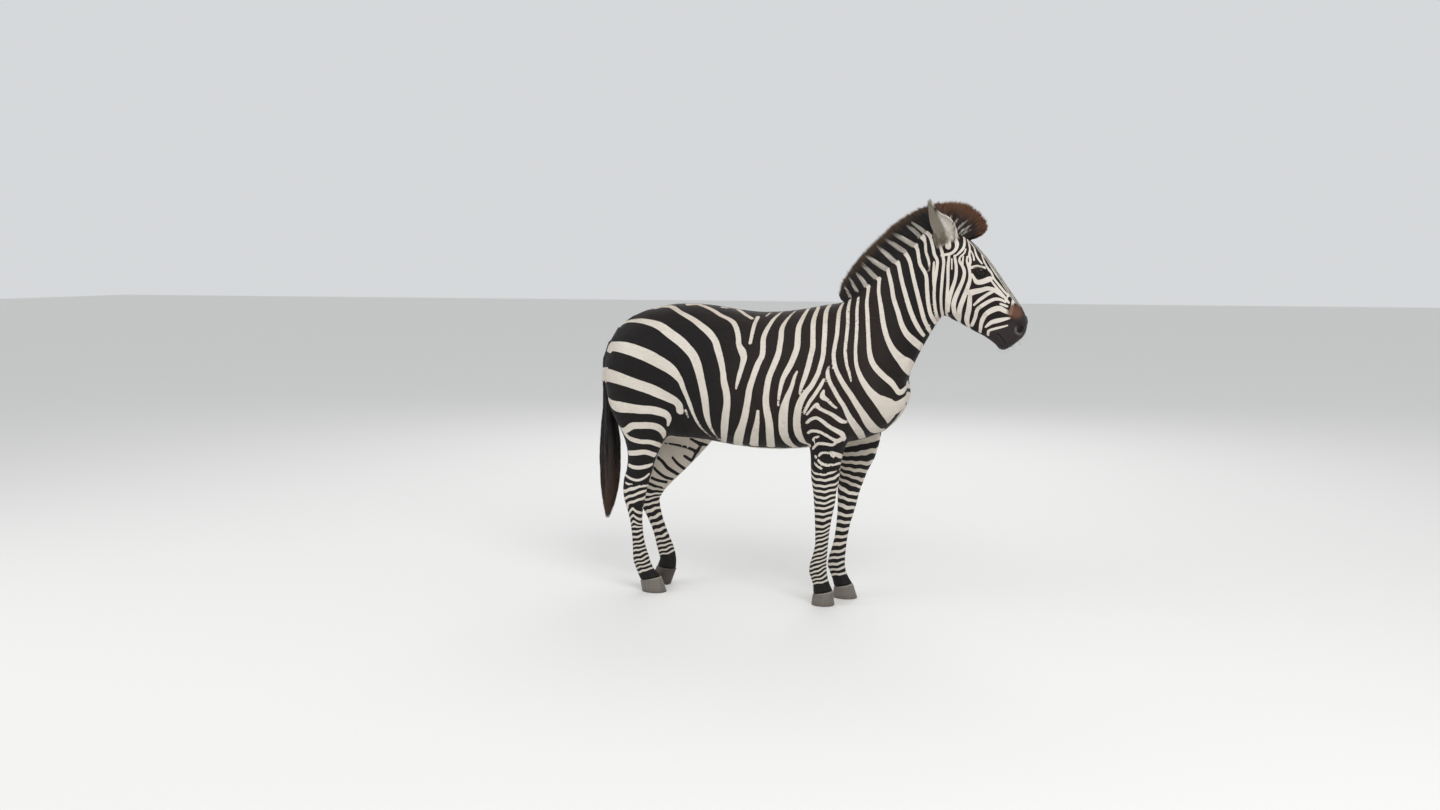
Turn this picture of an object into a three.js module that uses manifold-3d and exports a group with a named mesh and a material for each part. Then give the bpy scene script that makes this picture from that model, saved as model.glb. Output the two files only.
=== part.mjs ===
// A life-size standing plains zebra, modelled as one body and parted into named solids.
// Millimetres, +Z up. The animal faces +X with its left side towards +Y. While it is being
// modelled, x = 0 lies mid-body; CENTRE_X then moves it so that the frame's origin is on the
// floor below the middle of the whole animal.
import * as THREE from 'three';
import { mergeVertices } from 'three/addons/utils/BufferGeometryUtils.js';
import Module from 'manifold-3d';

const wasm = await Module();
wasm.setup();

// ---- Driving dimensions ----
const CENTRE_X = 287;              // middle of the animal, tail tuft to lips
const GAP = 0.3;                   // clearance between neighbouring nodes
const FAR = 3000;                  // reach of the cutting blocks
const LEG_TOP_Z = 648;             // the legs leave the trunk at this height
const BELLY_FRONT_X = 320;         // the fore legs stand ahead of this
const WITHERS = [455, 1306];       // upper end of the joint of neck and trunk (x, z)
const BREAST = [748, 955];         // lower end of it
const POLL_CUT = [838, 1622];      // upper end of the joint of head and neck
const THROAT_CUT = [893, 1226];    // lower end of it
const POLL = [872, 1612];          // origin of the head's own frame (x, z)
const FACE_SLOPE = THREE.MathUtils.degToRad(49.7);  // how steeply the face falls forwards
const EYE_RADIUS = 21;
const EYE_AT = { s: 254, h: 6, y: 79 };             // along the face, above its line, sideways
const EAR_LENGTH = 186;
const EAR_WALL = 7;
const MANE_ROOT_DEPTH = 22;        // how far the mane's foot is sunk before it is trimmed
const DOCK_END_Z = 800;            // the tail's dock ends and its tuft begins here

const COLOUR = { coat: '#d8d0c2', hoof: '#5d5650', eye: '#1c120c', hair: '#3a2a20' };

function paint(colour, roughness) {
  return new THREE.MeshStandardMaterial({ color: colour, roughness, metalness: 0 });
}

// ---- Solids ----
function toSolid(geometry) {
  const bare = geometry.clone();
  bare.deleteAttribute('normal');
  bare.deleteAttribute('uv');
  const merged = mergeVertices(bare, 1e-4);
  const vertProperties = new Float32Array(merged.attributes.position.array);
  const triVerts = new Uint32Array(merged.index.array);
  return new wasm.Manifold(new wasm.Mesh({ numProp: 3, vertProperties, triVerts }));
}

function toGeometry(solid) {
  const { vertProperties, triVerts } = solid.getMesh();
  const geometry = new THREE.BufferGeometry();
  geometry.setAttribute('position', new THREE.BufferAttribute(new Float32Array(vertProperties), 3));
  geometry.setIndex(new THREE.BufferAttribute(new Uint32Array(triVerts), 1));
  geometry.computeVertexNormals();
  return geometry;
}

// Closes a run of equal rings of points into one skin, with a flat fan at each end.
function skinRings(rings) {
  const sides = rings[0].length;
  const points = rings.flat();
  const faces = [];
  for (let r = 0; r + 1 < rings.length; r++) {
    for (let i = 0; i < sides; i++) {
      const a = r * sides + i;
      const b = r * sides + (i + 1) % sides;
      faces.push(a, b, a + sides, b, b + sides, a + sides);
    }
  }
  for (const [start, flip] of [[0, false], [(rings.length - 1) * sides, true]]) {
    const middle = new THREE.Vector3();
    for (let i = 0; i < sides; i++) middle.addScaledVector(points[start + i], 1 / sides);
    const hub = points.push(middle) - 1;
    for (let i = 0; i < sides; i++) {
      const a = start + i;
      const b = start + (i + 1) % sides;
      if (flip) faces.push(hub, a, b);
      else faces.push(hub, b, a);
    }
  }
  const geometry = new THREE.BufferGeometry();
  const flat = new Float32Array(points.flatMap((p) => [p.x, p.y, p.z]));
  geometry.setAttribute('position', new THREE.BufferAttribute(flat, 3));
  geometry.setIndex(faces);
  const solid = toSolid(geometry);
  if (solid.volume() > 0) return solid;
  geometry.setIndex(faces.map((_, k) => faces[k - (k % 3) + 2 - (k % 3)]));
  return toSolid(geometry);
}

// A section is drawn between an upper (or front) outline point and a lower (or back) one.
// `widest` is where it is widest, as a share of the way from the lower point to the upper;
// the two powers shape its halves: 2 is an ellipse, more is boxier, less is more pointed.
function sectionRing(row, sides) {
  const { upper, lower, half, y = 0, widest = 0.5, upperPower = 2, lowerPower = 2 } = row;
  const midX = lower[0] + (upper[0] - lower[0]) * widest;
  const midZ = lower[1] + (upper[1] - lower[1]) * widest;
  return Array.from({ length: sides }, (_, i) => {
    const angle = (2 * Math.PI * i) / sides;
    const cos = Math.cos(angle);
    const sin = Math.sin(angle);
    const [endX, endZ] = cos > 0 ? upper : lower;
    const power = cos > 0 ? upperPower : lowerPower;
    const reach = Math.abs(cos) ** (2 / power);
    const side = half * Math.sign(sin) * Math.abs(sin) ** (2 / power);
    return new THREE.Vector3(midX + (endX - midX) * reach, y + side, midZ + (endZ - midZ) * reach);
  });
}

function loft(sections, sides) {
  return skinRings(sections.map((row) => sectionRing(row, sides)));
}

function ellipsoid(centre, radii, pitch = 0, detail = [16, 10]) {
  const geometry = new THREE.SphereGeometry(1, ...detail);
  geometry.scale(...radii);
  geometry.rotateY(pitch);
  geometry.translate(...centre);
  return toSolid(geometry);
}

function bothSides(make) {
  return [-1, 1].map(make);
}

function join(solids) {
  return solids.reduce((whole, piece) => whole.add(piece));
}

// Trims the buried root of `piece` off, GAP clear of `solid` on every side.
function clearOf(piece, solid) {
  const ways = [[1, 0, 0], [-1, 0, 0], [0, 1, 0], [0, -1, 0], [0, 0, 1], [0, 0, -1]];
  return ways.reduce((rest, way) => rest.subtract(solid.translate(way.map((v) => v * GAP))), piece);
}

function block(low, high) {
  const size = high.map((v, k) => v - low[k]);
  const geometry = new THREE.BoxGeometry(...size);
  geometry.translate(...low.map((v, k) => v + size[k] / 2));
  return toSolid(geometry);
}

// Everything on the front side of an upright plane through two (x, z) points.
function aheadOf([x1, z1], [x2, z2], shift = 0) {
  const tilt = Math.atan2(x2 - x1, z1 - z2);
  const geometry = new THREE.BoxGeometry(FAR, FAR, FAR);
  geometry.translate(FAR / 2 + shift, 0, 0);
  geometry.rotateY(-tilt);
  geometry.translate((x1 + x2) / 2, 0, (z1 + z2) / 2);
  return toSolid(geometry);
}

// ---- Trunk: x, back line, belly line, half width, height of the widest part ----
const TRUNK = [
  [-612, 1062, 915, 58, 0.55],
  [-596, 1116, 825, 116, 0.58],
  [-556, 1177, 748, 166, 0.60],
  [-490, 1226, 700, 203, 0.62],
  [-400, 1263, 683, 222, 0.62],
  [-300, 1284, 680, 228, 0.60],
  [-200, 1287, 680, 228, 0.54],
  [-100, 1279, 673, 241, 0.46],
  [0, 1263, 660, 260, 0.42],
  [100, 1253, 652, 272, 0.41],
  [200, 1256, 652, 268, 0.42],
  [300, 1270, 660, 250, 0.44],
  [400, 1290, 675, 230, 0.45],
  [480, 1296, 690, 220, 0.44],
  [570, 1230, 712, 204, 0.40],
  [650, 1130, 748, 172, 0.38],
  [706, 1050, 802, 126, 0.40],
  [740, 985, 868, 64, 0.45],
];

function buildTrunk() {
  const barrel = loft(TRUNK.map(([x, back, belly, half, widest]) => ({
    upper: [x, back], lower: [x, belly], half, widest, upperPower: 1.85, lowerPower: 2.15,
  })), 24);
  const haunches = bothSides((side) => (
    ellipsoid([-408, side * 116, 985], [176, 122, 215], 0.25, [14, 8])
  ));
  return join([barrel, ...haunches]);
}

// ---- Neck: crest point, throat point, half width ----
const NECK = [
  [[300, 1190], [560, 800], 176, 0.42],
  [[400, 1268], [690, 880], 172, 0.40],
  [[474, 1308], [742, 965], 148, 0.40],
  [[544, 1372], [764, 1024], 124, 0.41],
  [[610, 1432], [789, 1076], 106, 0.43],
  [[676, 1491], [818, 1130], 94, 0.46],
  [[742, 1543], [846, 1180], 88, 0.49],
  [[800, 1586], [872, 1222], 85, 0.52],
  [[850, 1606], [910, 1262], 80, 0.54],
];

function buildNeck() {
  return loft(NECK.map(([upper, lower, half, widest]) => (
    { upper, lower, half, widest, upperPower: 1.7, lowerPower: 2.1 }
  )), 20);
}

// ---- Head, in its own frame: s runs from the poll down the face, h stands up from its line ----
function headPoint(s, h) {
  const cos = Math.cos(FACE_SLOPE);
  const sin = Math.sin(FACE_SLOPE);
  return [POLL[0] + s * cos + h * sin, POLL[1] - s * sin + h * cos];
}

function headSpot(s, h, y) {
  const [x, z] = headPoint(s, h);
  return [x, y, z];
}

// s, profile above, jaw below, half width, height of the widest part, upper and lower power
const HEAD = [
  [-30, -22, -130, 50, 0.60, 2.0, 2.0],
  [10, 6, -165, 72, 0.62, 2.0, 2.0],
  [60, 32, -190, 82, 0.67, 2.2, 2.0],
  [110, 50, -206, 86, 0.70, 2.4, 2.0],
  [165, 57, -222, 91, 0.73, 2.5, 1.9],
  [220, 58, -233, 96, 0.75, 2.5, 1.9],
  [270, 56, -235, 92, 0.75, 2.4, 2.0],
  [310, 53, -222, 84, 0.74, 2.3, 2.0],
  [350, 49, -203, 73, 0.71, 2.2, 2.1],
  [390, 45, -188, 63, 0.69, 2.2, 2.1],
  [425, 42, -174, 56, 0.65, 2.2, 2.2],
  [460, 39, -158, 52, 0.60, 2.2, 2.2],
  [492, 32, -148, 54, 0.58, 2.2, 2.3],
  [520, 20, -142, 54, 0.55, 2.3, 2.3],
  [542, 5, -135, 50, 0.52, 2.4, 2.3],
  [558, -16, -122, 41, 0.50, 2.4, 2.2],
  [566, -38, -104, 25, 0.50, 2.2, 2.0],
];

function buildHead() {
  const skull = loft(HEAD.map(([s, above, below, half, widest, upperPower, lowerPower]) => ({
    upper: headPoint(s, above), lower: headPoint(s, below), half, widest, upperPower, lowerPower,
  })), 20);
  const lumps = bothSides((side) => [
    ellipsoid(headSpot(248, 8, side * 64), [50, 25, 34], FACE_SLOPE, [10, 6]),    // eye socket rim
    ellipsoid(headSpot(262, -130, side * 40), [92, 45, 92], FACE_SLOPE, [12, 6]),  // cheek
    ellipsoid(headSpot(501, -4, side * 34), [38, 25, 32], FACE_SLOPE, [10, 6]),    // nostril wing
    ellipsoid(headSpot(70, -30, side * 62), [50, 34, 46], FACE_SLOPE, [8, 6]),     // foot of the ear
  ]);
  const chin = ellipsoid(headSpot(532, -116, 0), [32, 40, 28], FACE_SLOPE, [10, 6]);
  const holes = bothSides((side) => [
    ellipsoid(headSpot(519, -14, side * 60), [20, 17, 10], FACE_SLOPE - 0.45, [10, 6]),
    eyeBall(side, EYE_RADIUS + GAP),
  ]);
  return join([skull, chin, ...lumps.flat()]).subtract(join(holes.flat()));
}

function eyeBall(side, radius) {
  const { s, h, y } = EYE_AT;
  return ellipsoid(headSpot(s, h, side * y), [radius, radius, radius], 0, [12, 8]);
}

// ---- Legs: height, front outline, back outline, half width, sideways place ----
const FORE_RIGHT = [
  [820, 560, 330, 84, -120],
  [740, 535, 336, 80, -128],
  [690, 508, 348, 68, -129],
  [620, 489, 352, 58, -124],
  [550, 479, 354, 49, -117],
  [492, 465, 362, 42, -110],
  [455, 461, 364, 42, -107],
  [415, 453, 367, 41, -104],
  [375, 444, 368, 35, -102],
  [325, 435, 369, 29, -99],
  [260, 428, 369, 25.5, -96],
  [212, 424, 357, 27, -94],
  [176, 421, 345, 31, -92],
  [140, 423, 341, 32.5, -91],
  [108, 429, 352, 29, -90],
  [80, 440, 360, 30, -89],
];
const FORE_LEFT = [
  [820, 620, 370, 84, 120],
  [740, 615, 385, 80, 128],
  [690, 609, 400, 68, 126],
  [620, 589, 411, 58, 118],
  [550, 552, 418, 49, 108],
  [492, 531, 421, 42, 99],
  [455, 519, 421, 42, 95],
  [415, 511, 423, 41, 91],
  [375, 500, 423, 35, 87],
  [325, 485, 420, 29, 83],
  [260, 474, 413, 25.5, 77],
  [212, 469, 401, 27, 73],
  [176, 467, 390, 31, 71],
  [140, 466, 384, 32.5, 69],
  [108, 473, 396, 29, 67],
  [80, 489, 408, 30, 65],
];
const HIND_RIGHT = [
  [950, -240, -545, 104, -120],
  [860, -212, -574, 104, -126],
  [800, -222, -552, 98, -130],
  [740, -262, -517, 84, -130],
  [686, -300, -492, 70, -127],
  [632, -328, -481, 56, -122],
  [588, -350, -481, 47, -118],
  [545, -364, -488, 40, -115],
  [505, -378, -503, 37, -112],
  [458, -393, -508, 37, -110],
  [415, -402, -504, 36, -108],
  [370, -413, -490, 33, -106],
  [320, -418, -477, 28, -104],
  [260, -414, -470, 25.5, -102],
  [200, -404, -467, 26.5, -100],
  [160, -391, -467, 31, -98],
  [130, -383, -465, 32.5, -97],
  [100, -367, -454, 29, -96],
];
const HIND_LEFT = [
  [950, -220, -545, 104, 120],
  [860, -170, -574, 104, 126],
  [800, -138, -552, 98, 130],
  [740, -124, -517, 88, 130],
  [673, -142, -488, 75, 124],
  [600, -209, -475, 58, 114],
  [530, -278, -493, 46, 102],
  [470, -339, -521, 40, 92],
  [430, -378, -528, 38, 86],
  [388, -404, -518, 37, 80],
  [347, -399, -491, 34, 75],
  [304, -386, -464, 29, 70],
  [258, -368, -440, 26, 65],
  [215, -348, -424, 26, 61],
  [180, -331, -415, 28, 58],
  [147, -320, -404, 31.5, 55],
  [117, -314, -393, 31.5, 52],
];

// Each hoof: its coronet and its sole, front point and back point (x, z), and half widths.
const HOOVES = {
  fore_right: { coronet: [[449, 63], [360, 46]], sole: [[454, 0], [354, 0]], y: -88 },
  fore_left: { coronet: [[502, 63], [417, 46]], sole: [[522, 0], [415, 0]], y: 63 },
  hind_right: { coronet: [[-334, 69], [-432, 48]], sole: [[-310, 0], [-422, 0]], y: -95 },
  // The left hind foot rests on the tip of its toe, heel raised.
  hind_left: { coronet: [[-314, 74], [-406, 84]], sole: [[-345, -5], [-421, 50]], y: 49 },
};
const CORONET_HALF = 37;
const SOLE_HALF = 44;
const SEAM = 0.4;                  // slit between a leg and its hoof

function buildLeg(rows, { coronet, y }) {
  const sections = rows.map(([z, front, back, half, side]) => (
    { upper: [front, z], lower: [back, z], half, y: side }
  ));
  sections.push({ upper: coronet[0], lower: coronet[1], half: CORONET_HALF, y });
  return loft(sections, 14);
}

function buildHoof({ coronet, sole, y }) {
  const topping = coronet.map(([x, z]) => [x, z - SEAM]);
  const wall = loft([
    { upper: topping[0], lower: topping[1], half: CORONET_HALF, y },
    { upper: sole[0], lower: sole[1], half: SOLE_HALF, y, upperPower: 2.2 },
  ], 20);
  return wall.intersect(block([-FAR, -FAR, 0], [FAR, FAR, FAR]));
}

// ---- Tail ----
const DOCK = [                     // back point, front point, half width
  [[-556, 1150], [-580, 1060], 44],
  [[-612, 1110], [-590, 1050], 36],
  [[-644, 1030], [-588, 1012], 30],
  [[-648, 940], [-596, 938], 26],
  [[-645, 860], [-600, 860], 22],
  [[-644, DOCK_END_Z + GAP], [-602, DOCK_END_Z + GAP], 21],
];
const TUFT = [                     // height, back, front, half width
  [DOCK_END_Z - GAP, -645, -596, 25],
  [740, -652, -580, 36],
  [650, -658, -569, 44],
  [560, -660, -567, 46],
  [470, -657, -574, 41],
  [400, -651, -587, 32],
  [340, -643, -606, 19],
  [298, -635, -624, 6],
];

function buildTuft() {
  return loft(TUFT.map(([z, back, front, half]) => (
    { upper: [back, z], lower: [front, z], half }
  )), 14);
}

// ---- Mane and forelock: root on the crest, hair tip, half thickness ----
const MANE = [
  [[448, 1296], [440, 1312], 5],
  [[478, 1308], [454, 1356], 14],
  [[520, 1345], [468, 1400], 20],
  [[566, 1388], [496, 1452], 22],
  [[610, 1430], [540, 1510], 23],
  [[660, 1476], [592, 1566], 23],
  [[710, 1516], [648, 1608], 23],
  [[758, 1552], [702, 1645], 23],
  [[804, 1582], [757, 1675], 24],
  [[844, 1602], [812, 1692], 25],
  [[876, 1610], [862, 1702], 27],
  [[904, 1602], [911, 1710], 29],
  [[928, 1590], [967, 1703], 31],
  [[948, 1578], [1018, 1676], 30],
  [[962, 1567], [1050, 1638], 26],
  [[973, 1559], [1054, 1602], 18],
  [[981, 1551], [1032, 1582], 8],
];

function buildMane() {
  return loft(MANE.map(([root, tip, half]) => {
    const length = Math.hypot(tip[0] - root[0], tip[1] - root[1]);
    const sunk = root.map((v, k) => v - ((tip[k] - v) * MANE_ROOT_DEPTH) / length);
    return { upper: tip, lower: sunk, half, widest: 0.3, upperPower: 1.5, lowerPower: 2.4 };
  }), 10);
}

// ---- Ears: a cupped leaf whose rim opens from a tube at the root ----
const EAR_LEAN = [-0.37, 0.20, 0.90];   // back, outwards and up

function earAlong(side) {
  const [back, out, up] = EAR_LEAN;
  return new THREE.Vector3(back, side * out, up).normalize();
}

function buildEar(side) {
  const root = new THREE.Vector3(...headSpot(89, -12, side * 68));
  const along = earAlong(side);
  const facing = new THREE.Vector3(0.42, side * 0.90, 0.02);
  facing.addScaledVector(along, -facing.dot(along)).normalize();
  const across = new THREE.Vector3().crossVectors(along, facing);
  const stations = [                // share of the length, half width, depth, half opening, set back
    [-0.10, 30, 27, 170, 0],
    [0.08, 40, 31, 152, 0],
    [0.22, 48, 31, 130, 0],
    [0.38, 51, 29, 110, 0],
    [0.54, 42, 26, 98, 10],
    [0.66, 28, 22, 92, 19],
    [0.77, 20, 17, 86, 21],
    [0.87, 15, 12, 80, 20],
    [0.95, 14, 8, 75, 18],
    [1.00, 10, 6, 72, 16],
  ];
  const arcPoints = 7;
  const rings = stations.map(([share, half, depth, angle, setBack]) => {
    const lean = 10 * share * share;
    const centre = root.clone()
      .addScaledVector(along, share * EAR_LENGTH)
      .addScaledVector(facing, lean);
    centre.x -= setBack;
    const limit = THREE.MathUtils.degToRad(angle);
    const arc = (inset) => Array.from({ length: arcPoints }, (_, i) => {
      const theta = -limit + (2 * limit * i) / (arcPoints - 1);
      return centre.clone()
        .addScaledVector(across, Math.max(half - inset, 1.5) * Math.sin(theta))
        .addScaledVector(facing, -Math.max(depth - inset, 0.5) * Math.cos(theta));
    });
    return [...arc(0), ...arc(EAR_WALL).reverse()];
  });
  return skinRings(rings);
}

// ---- Assembly ----
const parts = new Map();
const names = { [-1]: 'right', [1]: 'left' };

const hooves = Object.entries(HOOVES);
const legRows = { fore_right: FORE_RIGHT, fore_left: FORE_LEFT, hind_right: HIND_RIGHT, hind_left: HIND_LEFT };
const flesh = join([buildTrunk(), buildNeck(), ...hooves.map(([leg, hoof]) => buildLeg(legRows[leg], hoof))]);
const body = join([flesh, buildHead()]).subtract(join(bothSides((side) => eyeBall(side, EYE_RADIUS + GAP))));

for (const [leg] of hooves) {
  const side = leg.endsWith('left') ? 1 : -1;
  const ahead = leg.startsWith('fore');
  const low = [ahead ? BELLY_FRONT_X : -FAR, side > 0 ? GAP : -FAR, -FAR];
  const high = [ahead ? FAR : BELLY_FRONT_X, side > 0 ? FAR : -GAP, LEG_TOP_Z];
  parts.set(`leg_${leg}`, body.intersect(block(low, high)));
}
const upperBody = body.subtract(block([-FAR, -FAR, -FAR], [FAR, FAR, LEG_TOP_Z + GAP]));
parts.set('head', upperBody.intersect(aheadOf(POLL_CUT, THROAT_CUT, GAP)));
const headless = upperBody.subtract(aheadOf(POLL_CUT, THROAT_CUT));
parts.set('neck', headless.intersect(aheadOf(WITHERS, BREAST, GAP)));
parts.set('trunk', headless.subtract(aheadOf(WITHERS, BREAST)));

const dock = loft(DOCK.map(([upper, lower, half]) => ({ upper, lower, half })), 12);
parts.set('tail_dock', clearOf(dock, parts.get('trunk')));
parts.set('tail_tuft', buildTuft());
for (const [leg, hoof] of hooves) parts.set(`hoof_${leg}`, buildHoof(hoof));

const crest = clearOf(buildMane(), upperBody);
for (const side of [-1, 1]) {
  parts.set(`eye_${names[side]}`, eyeBall(side, EYE_RADIUS));
  parts.set(`ear_${names[side]}`, clearOf(buildEar(side), upperBody));
}
parts.set('mane', crest.subtract(aheadOf(POLL_CUT, THROAT_CUT)));
parts.set('forelock', crest.intersect(aheadOf(POLL_CUT, THROAT_CUT, GAP)));

const zebra = new THREE.Group();
for (const [name, solid] of parts) {
  let finish = paint(COLOUR.coat, 0.8);
  if (name.startsWith('hoof')) finish = paint(COLOUR.hoof, 0.5);
  if (name.startsWith('eye')) finish = paint(COLOUR.eye, 0.1);
  if (name === 'mane' || name === 'forelock' || name === 'tail_tuft') finish = paint(COLOUR.hair, 0.9);
  const mesh = new THREE.Mesh(toGeometry(solid), finish);
  mesh.name = name;
  zebra.add(mesh);
}
zebra.position.x = -CENTRE_X;

export default zebra;
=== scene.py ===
import math

import bmesh
import bpy
import numpy as np
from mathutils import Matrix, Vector
from mathutils.bvhtree import BVHTree


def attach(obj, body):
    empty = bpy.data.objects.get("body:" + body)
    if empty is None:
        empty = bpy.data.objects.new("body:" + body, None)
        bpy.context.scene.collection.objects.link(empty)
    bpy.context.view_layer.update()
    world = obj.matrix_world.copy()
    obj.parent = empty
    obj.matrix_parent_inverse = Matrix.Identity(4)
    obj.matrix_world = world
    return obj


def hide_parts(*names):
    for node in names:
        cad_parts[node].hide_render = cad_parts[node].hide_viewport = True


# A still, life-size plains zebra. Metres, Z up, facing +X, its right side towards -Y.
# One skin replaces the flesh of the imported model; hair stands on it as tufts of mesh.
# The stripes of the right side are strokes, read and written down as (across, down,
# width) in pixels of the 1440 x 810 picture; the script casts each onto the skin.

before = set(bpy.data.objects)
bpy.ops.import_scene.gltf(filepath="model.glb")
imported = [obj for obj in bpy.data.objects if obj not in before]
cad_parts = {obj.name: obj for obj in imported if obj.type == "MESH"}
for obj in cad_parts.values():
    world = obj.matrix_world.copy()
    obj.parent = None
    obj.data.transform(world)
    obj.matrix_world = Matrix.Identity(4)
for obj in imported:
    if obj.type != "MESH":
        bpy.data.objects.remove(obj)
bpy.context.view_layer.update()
rng = np.random.default_rng(20)

# ---- Camera ----
PICTURE = (1440, 810)
FOCAL_PX = 1310
SENSOR = 36.0
CAMERA_AT = np.array([1.3967, -5.455, 1.47])
CAMERA_PITCH = math.radians(6.316)
CAMERA_TURN = math.radians(18)

# ---- Skin ----
VOXEL = 0.003
SKIN_TRIANGLES = 196000
SMOOTHING_REACH = 0.034            # how far the trunk's facets are smoothed
SMOOTHING_FACTOR = 0.75
COAT_DEPTH = {"trunk": 0.0030, "head": 0.0012, "leg": 0.0012}
FLESH = ("trunk", "neck", "head", "ear_right", "ear_left", "tail_dock", "leg_fore_right",
         "leg_fore_left", "leg_hind_right", "leg_hind_left")
EYES = ("eye_right", "eye_left")

# ---- The head's own frame: s runs down the face from the poll, h stands above its line ----
POLL = np.array([0.585, 0.0, 1.612])
FACE_SLOPE = math.radians(49.7)
ALONG_FACE = np.array([math.cos(FACE_SLOPE), 0.0, -math.sin(FACE_SLOPE)])
ABOVE_FACE = np.array([math.sin(FACE_SLOPE), 0.0, math.cos(FACE_SLOPE)])
POLL_CUT = np.array([0.551, 1.622])
THROAT_CUT = np.array([0.606, 1.226])
EYE_RADIUS = 0.021


def head_spot(s, h, y):
    return POLL + s * ALONG_FACE + h * ABOVE_FACE + np.array([0.0, y, 0.0])


EYE_AT = head_spot(0.254, 0.006, 0.079)


# ---- Numbers ----
def ramp(value, low, high):
    t = np.clip((value - low) / (high - low), 0.0, 1.0)
    return t * t * (3 - 2 * t)


def unit(v):
    return v / np.maximum(np.linalg.norm(v, axis=-1, keepdims=True), 1e-12)


def bell(points, centre, radii):
    d = (points - np.asarray(centre)) / np.asarray(radii)
    return np.exp(-np.sum(d * d, axis=-1))


def line_distance(points, path, widths=None):
    """Smallest distance from points to a path; less the half width there, if widths are given."""
    best = np.full(len(points), 9.0)
    path = np.asarray(path, float)
    half = np.zeros(len(path)) if widths is None else np.asarray(widths, float) / 2
    for a, b, wa, wb in zip(path[:-1], path[1:], half[:-1], half[1:]):
        ab = b - a
        t = np.clip((points - a) @ ab / max(ab @ ab, 1e-12), 0.0, 1.0)
        gap = np.linalg.norm(points - a - t[:, None] * ab, axis=1) - (wa + (wb - wa) * t)
        np.minimum(best, gap, out=best)
    return best


def near_line(points, path, reach):
    """Like line_distance, only worked out close to the path."""
    path = np.asarray(path, float)
    low, high = path.min(0) - 4 * reach, path.max(0) + 4 * reach
    close = np.all((points > low) & (points < high), axis=1)
    found = np.full(len(points), 9.0)
    if close.any():
        found[close] = line_distance(points[close], path)
    return found


# ---- Meshes ----
def read_mesh(mesh):
    points = np.zeros(len(mesh.vertices) * 3, np.float32)
    mesh.vertices.foreach_get("co", points)
    return points.reshape(-1, 3).astype(float)


def read_normals(mesh):
    normals = np.zeros(len(mesh.vertices) * 3, np.float32)
    mesh.vertex_normals.foreach_get("vector", normals)
    return normals.reshape(-1, 3).astype(float)


def read_triangles(mesh):
    mesh.calc_loop_triangles()
    corners = np.zeros(len(mesh.loop_triangles) * 3, np.int32)
    mesh.loop_triangles.foreach_get("vertices", corners)
    return corners.reshape(-1, 3)


def write_points(mesh, points):
    mesh.vertices.foreach_set("co", points.astype(np.float32).ravel())
    mesh.update()


def add_object(name, mesh):
    thing = bpy.data.objects.new(name, mesh)
    bpy.context.scene.collection.objects.link(thing)
    return thing


def mesh_of(name, points, faces):
    mesh = bpy.data.meshes.new(name)
    mesh.from_pydata([tuple(p) for p in points], [], [tuple(f) for f in faces])
    mesh.update()
    return mesh


def node_shell(names, scale_about_middle=1.0):
    """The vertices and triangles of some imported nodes."""
    points, faces, count = [], [], 0
    for name in names:
        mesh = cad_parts[name].data
        co = read_mesh(mesh)
        middle = (co.min(0) + co.max(0)) / 2
        points.append(middle + (co - middle) * scale_about_middle)
        faces.append(read_triangles(mesh) + count)
        count += len(co)
    return np.concatenate(points), np.concatenate(faces)


def applied(thing):
    """Replaces an object's mesh by what its modifiers make of it."""
    graph = bpy.context.evaluated_depsgraph_get()
    mesh = bpy.data.meshes.new_from_object(thing.evaluated_get(graph))
    thing.modifiers.clear()
    thing.data = mesh
    return thing


def voxel_skin(name, points, faces, voxel):
    thing = add_object(name, mesh_of(name, points, faces))
    remesh = thing.modifiers.new("shell", "REMESH")
    remesh.mode = "VOXEL"
    remesh.voxel_size = voxel
    return applied(thing)


def keep_largest(thing):
    """Drops every loose shell but the biggest."""
    mesh = thing.data
    count = len(mesh.vertices)
    edges = np.zeros(len(mesh.edges) * 2, np.int32)
    mesh.edges.foreach_get("vertices", edges)
    edges = edges.reshape(-1, 2)
    label = np.arange(count)
    while True:
        low = np.minimum(label[edges[:, 0]], label[edges[:, 1]])
        new = label.copy()
        np.minimum.at(new, edges[:, 0], low)
        np.minimum.at(new, edges[:, 1], low)
        new = new[new]
        new = new[new]
        if np.array_equal(new, label):
            break
        label = new
    names, sizes = np.unique(label, return_counts=True)
    if len(names) > 1:
        drop = label != names[np.argmax(sizes)]
        bm = bmesh.new()
        bm.from_mesh(mesh)
        bm.verts.ensure_lookup_table()
        bmesh.ops.delete(bm, geom=[bm.verts[i] for i in np.nonzero(drop)[0]], context="VERTS")
        bm.to_mesh(mesh)
        bm.free()
    return thing


def set_weights(thing, name, weights, steps=40):
    group = thing.vertex_groups.new(name=name)
    level = np.round(np.clip(weights, 0, 1) * steps).astype(int)
    for k in range(1, steps + 1):
        chosen = np.nonzero(level == k)[0]
        if len(chosen):
            group.add(chosen.tolist(), k / steps, "REPLACE")


def past_poll(points):
    """Distance ahead of the joint of head and neck, in the plane of x and z."""
    along = unit(THROAT_CUT - POLL_CUT)
    return (points[:, [0, 2]] - POLL_CUT) @ np.array([-along[1], along[0]])


def ear_ends():
    """Root and tip of the right ear's middle line."""
    points = read_mesh(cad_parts["ear_right"].data)
    tip = points[points[:, 2] > points[:, 2].max() - 0.012].mean(0)
    root = points[points[:, 2] < points[:, 2].min() + 0.030].mean(0)
    return root, tip


EAR_ROOT, EAR_TIP = ear_ends()


def on_right(points):
    """The same places on the right side."""
    return points * np.array([1, 0, 1]) - np.abs(points) * np.array([0, 1, 0])


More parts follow.
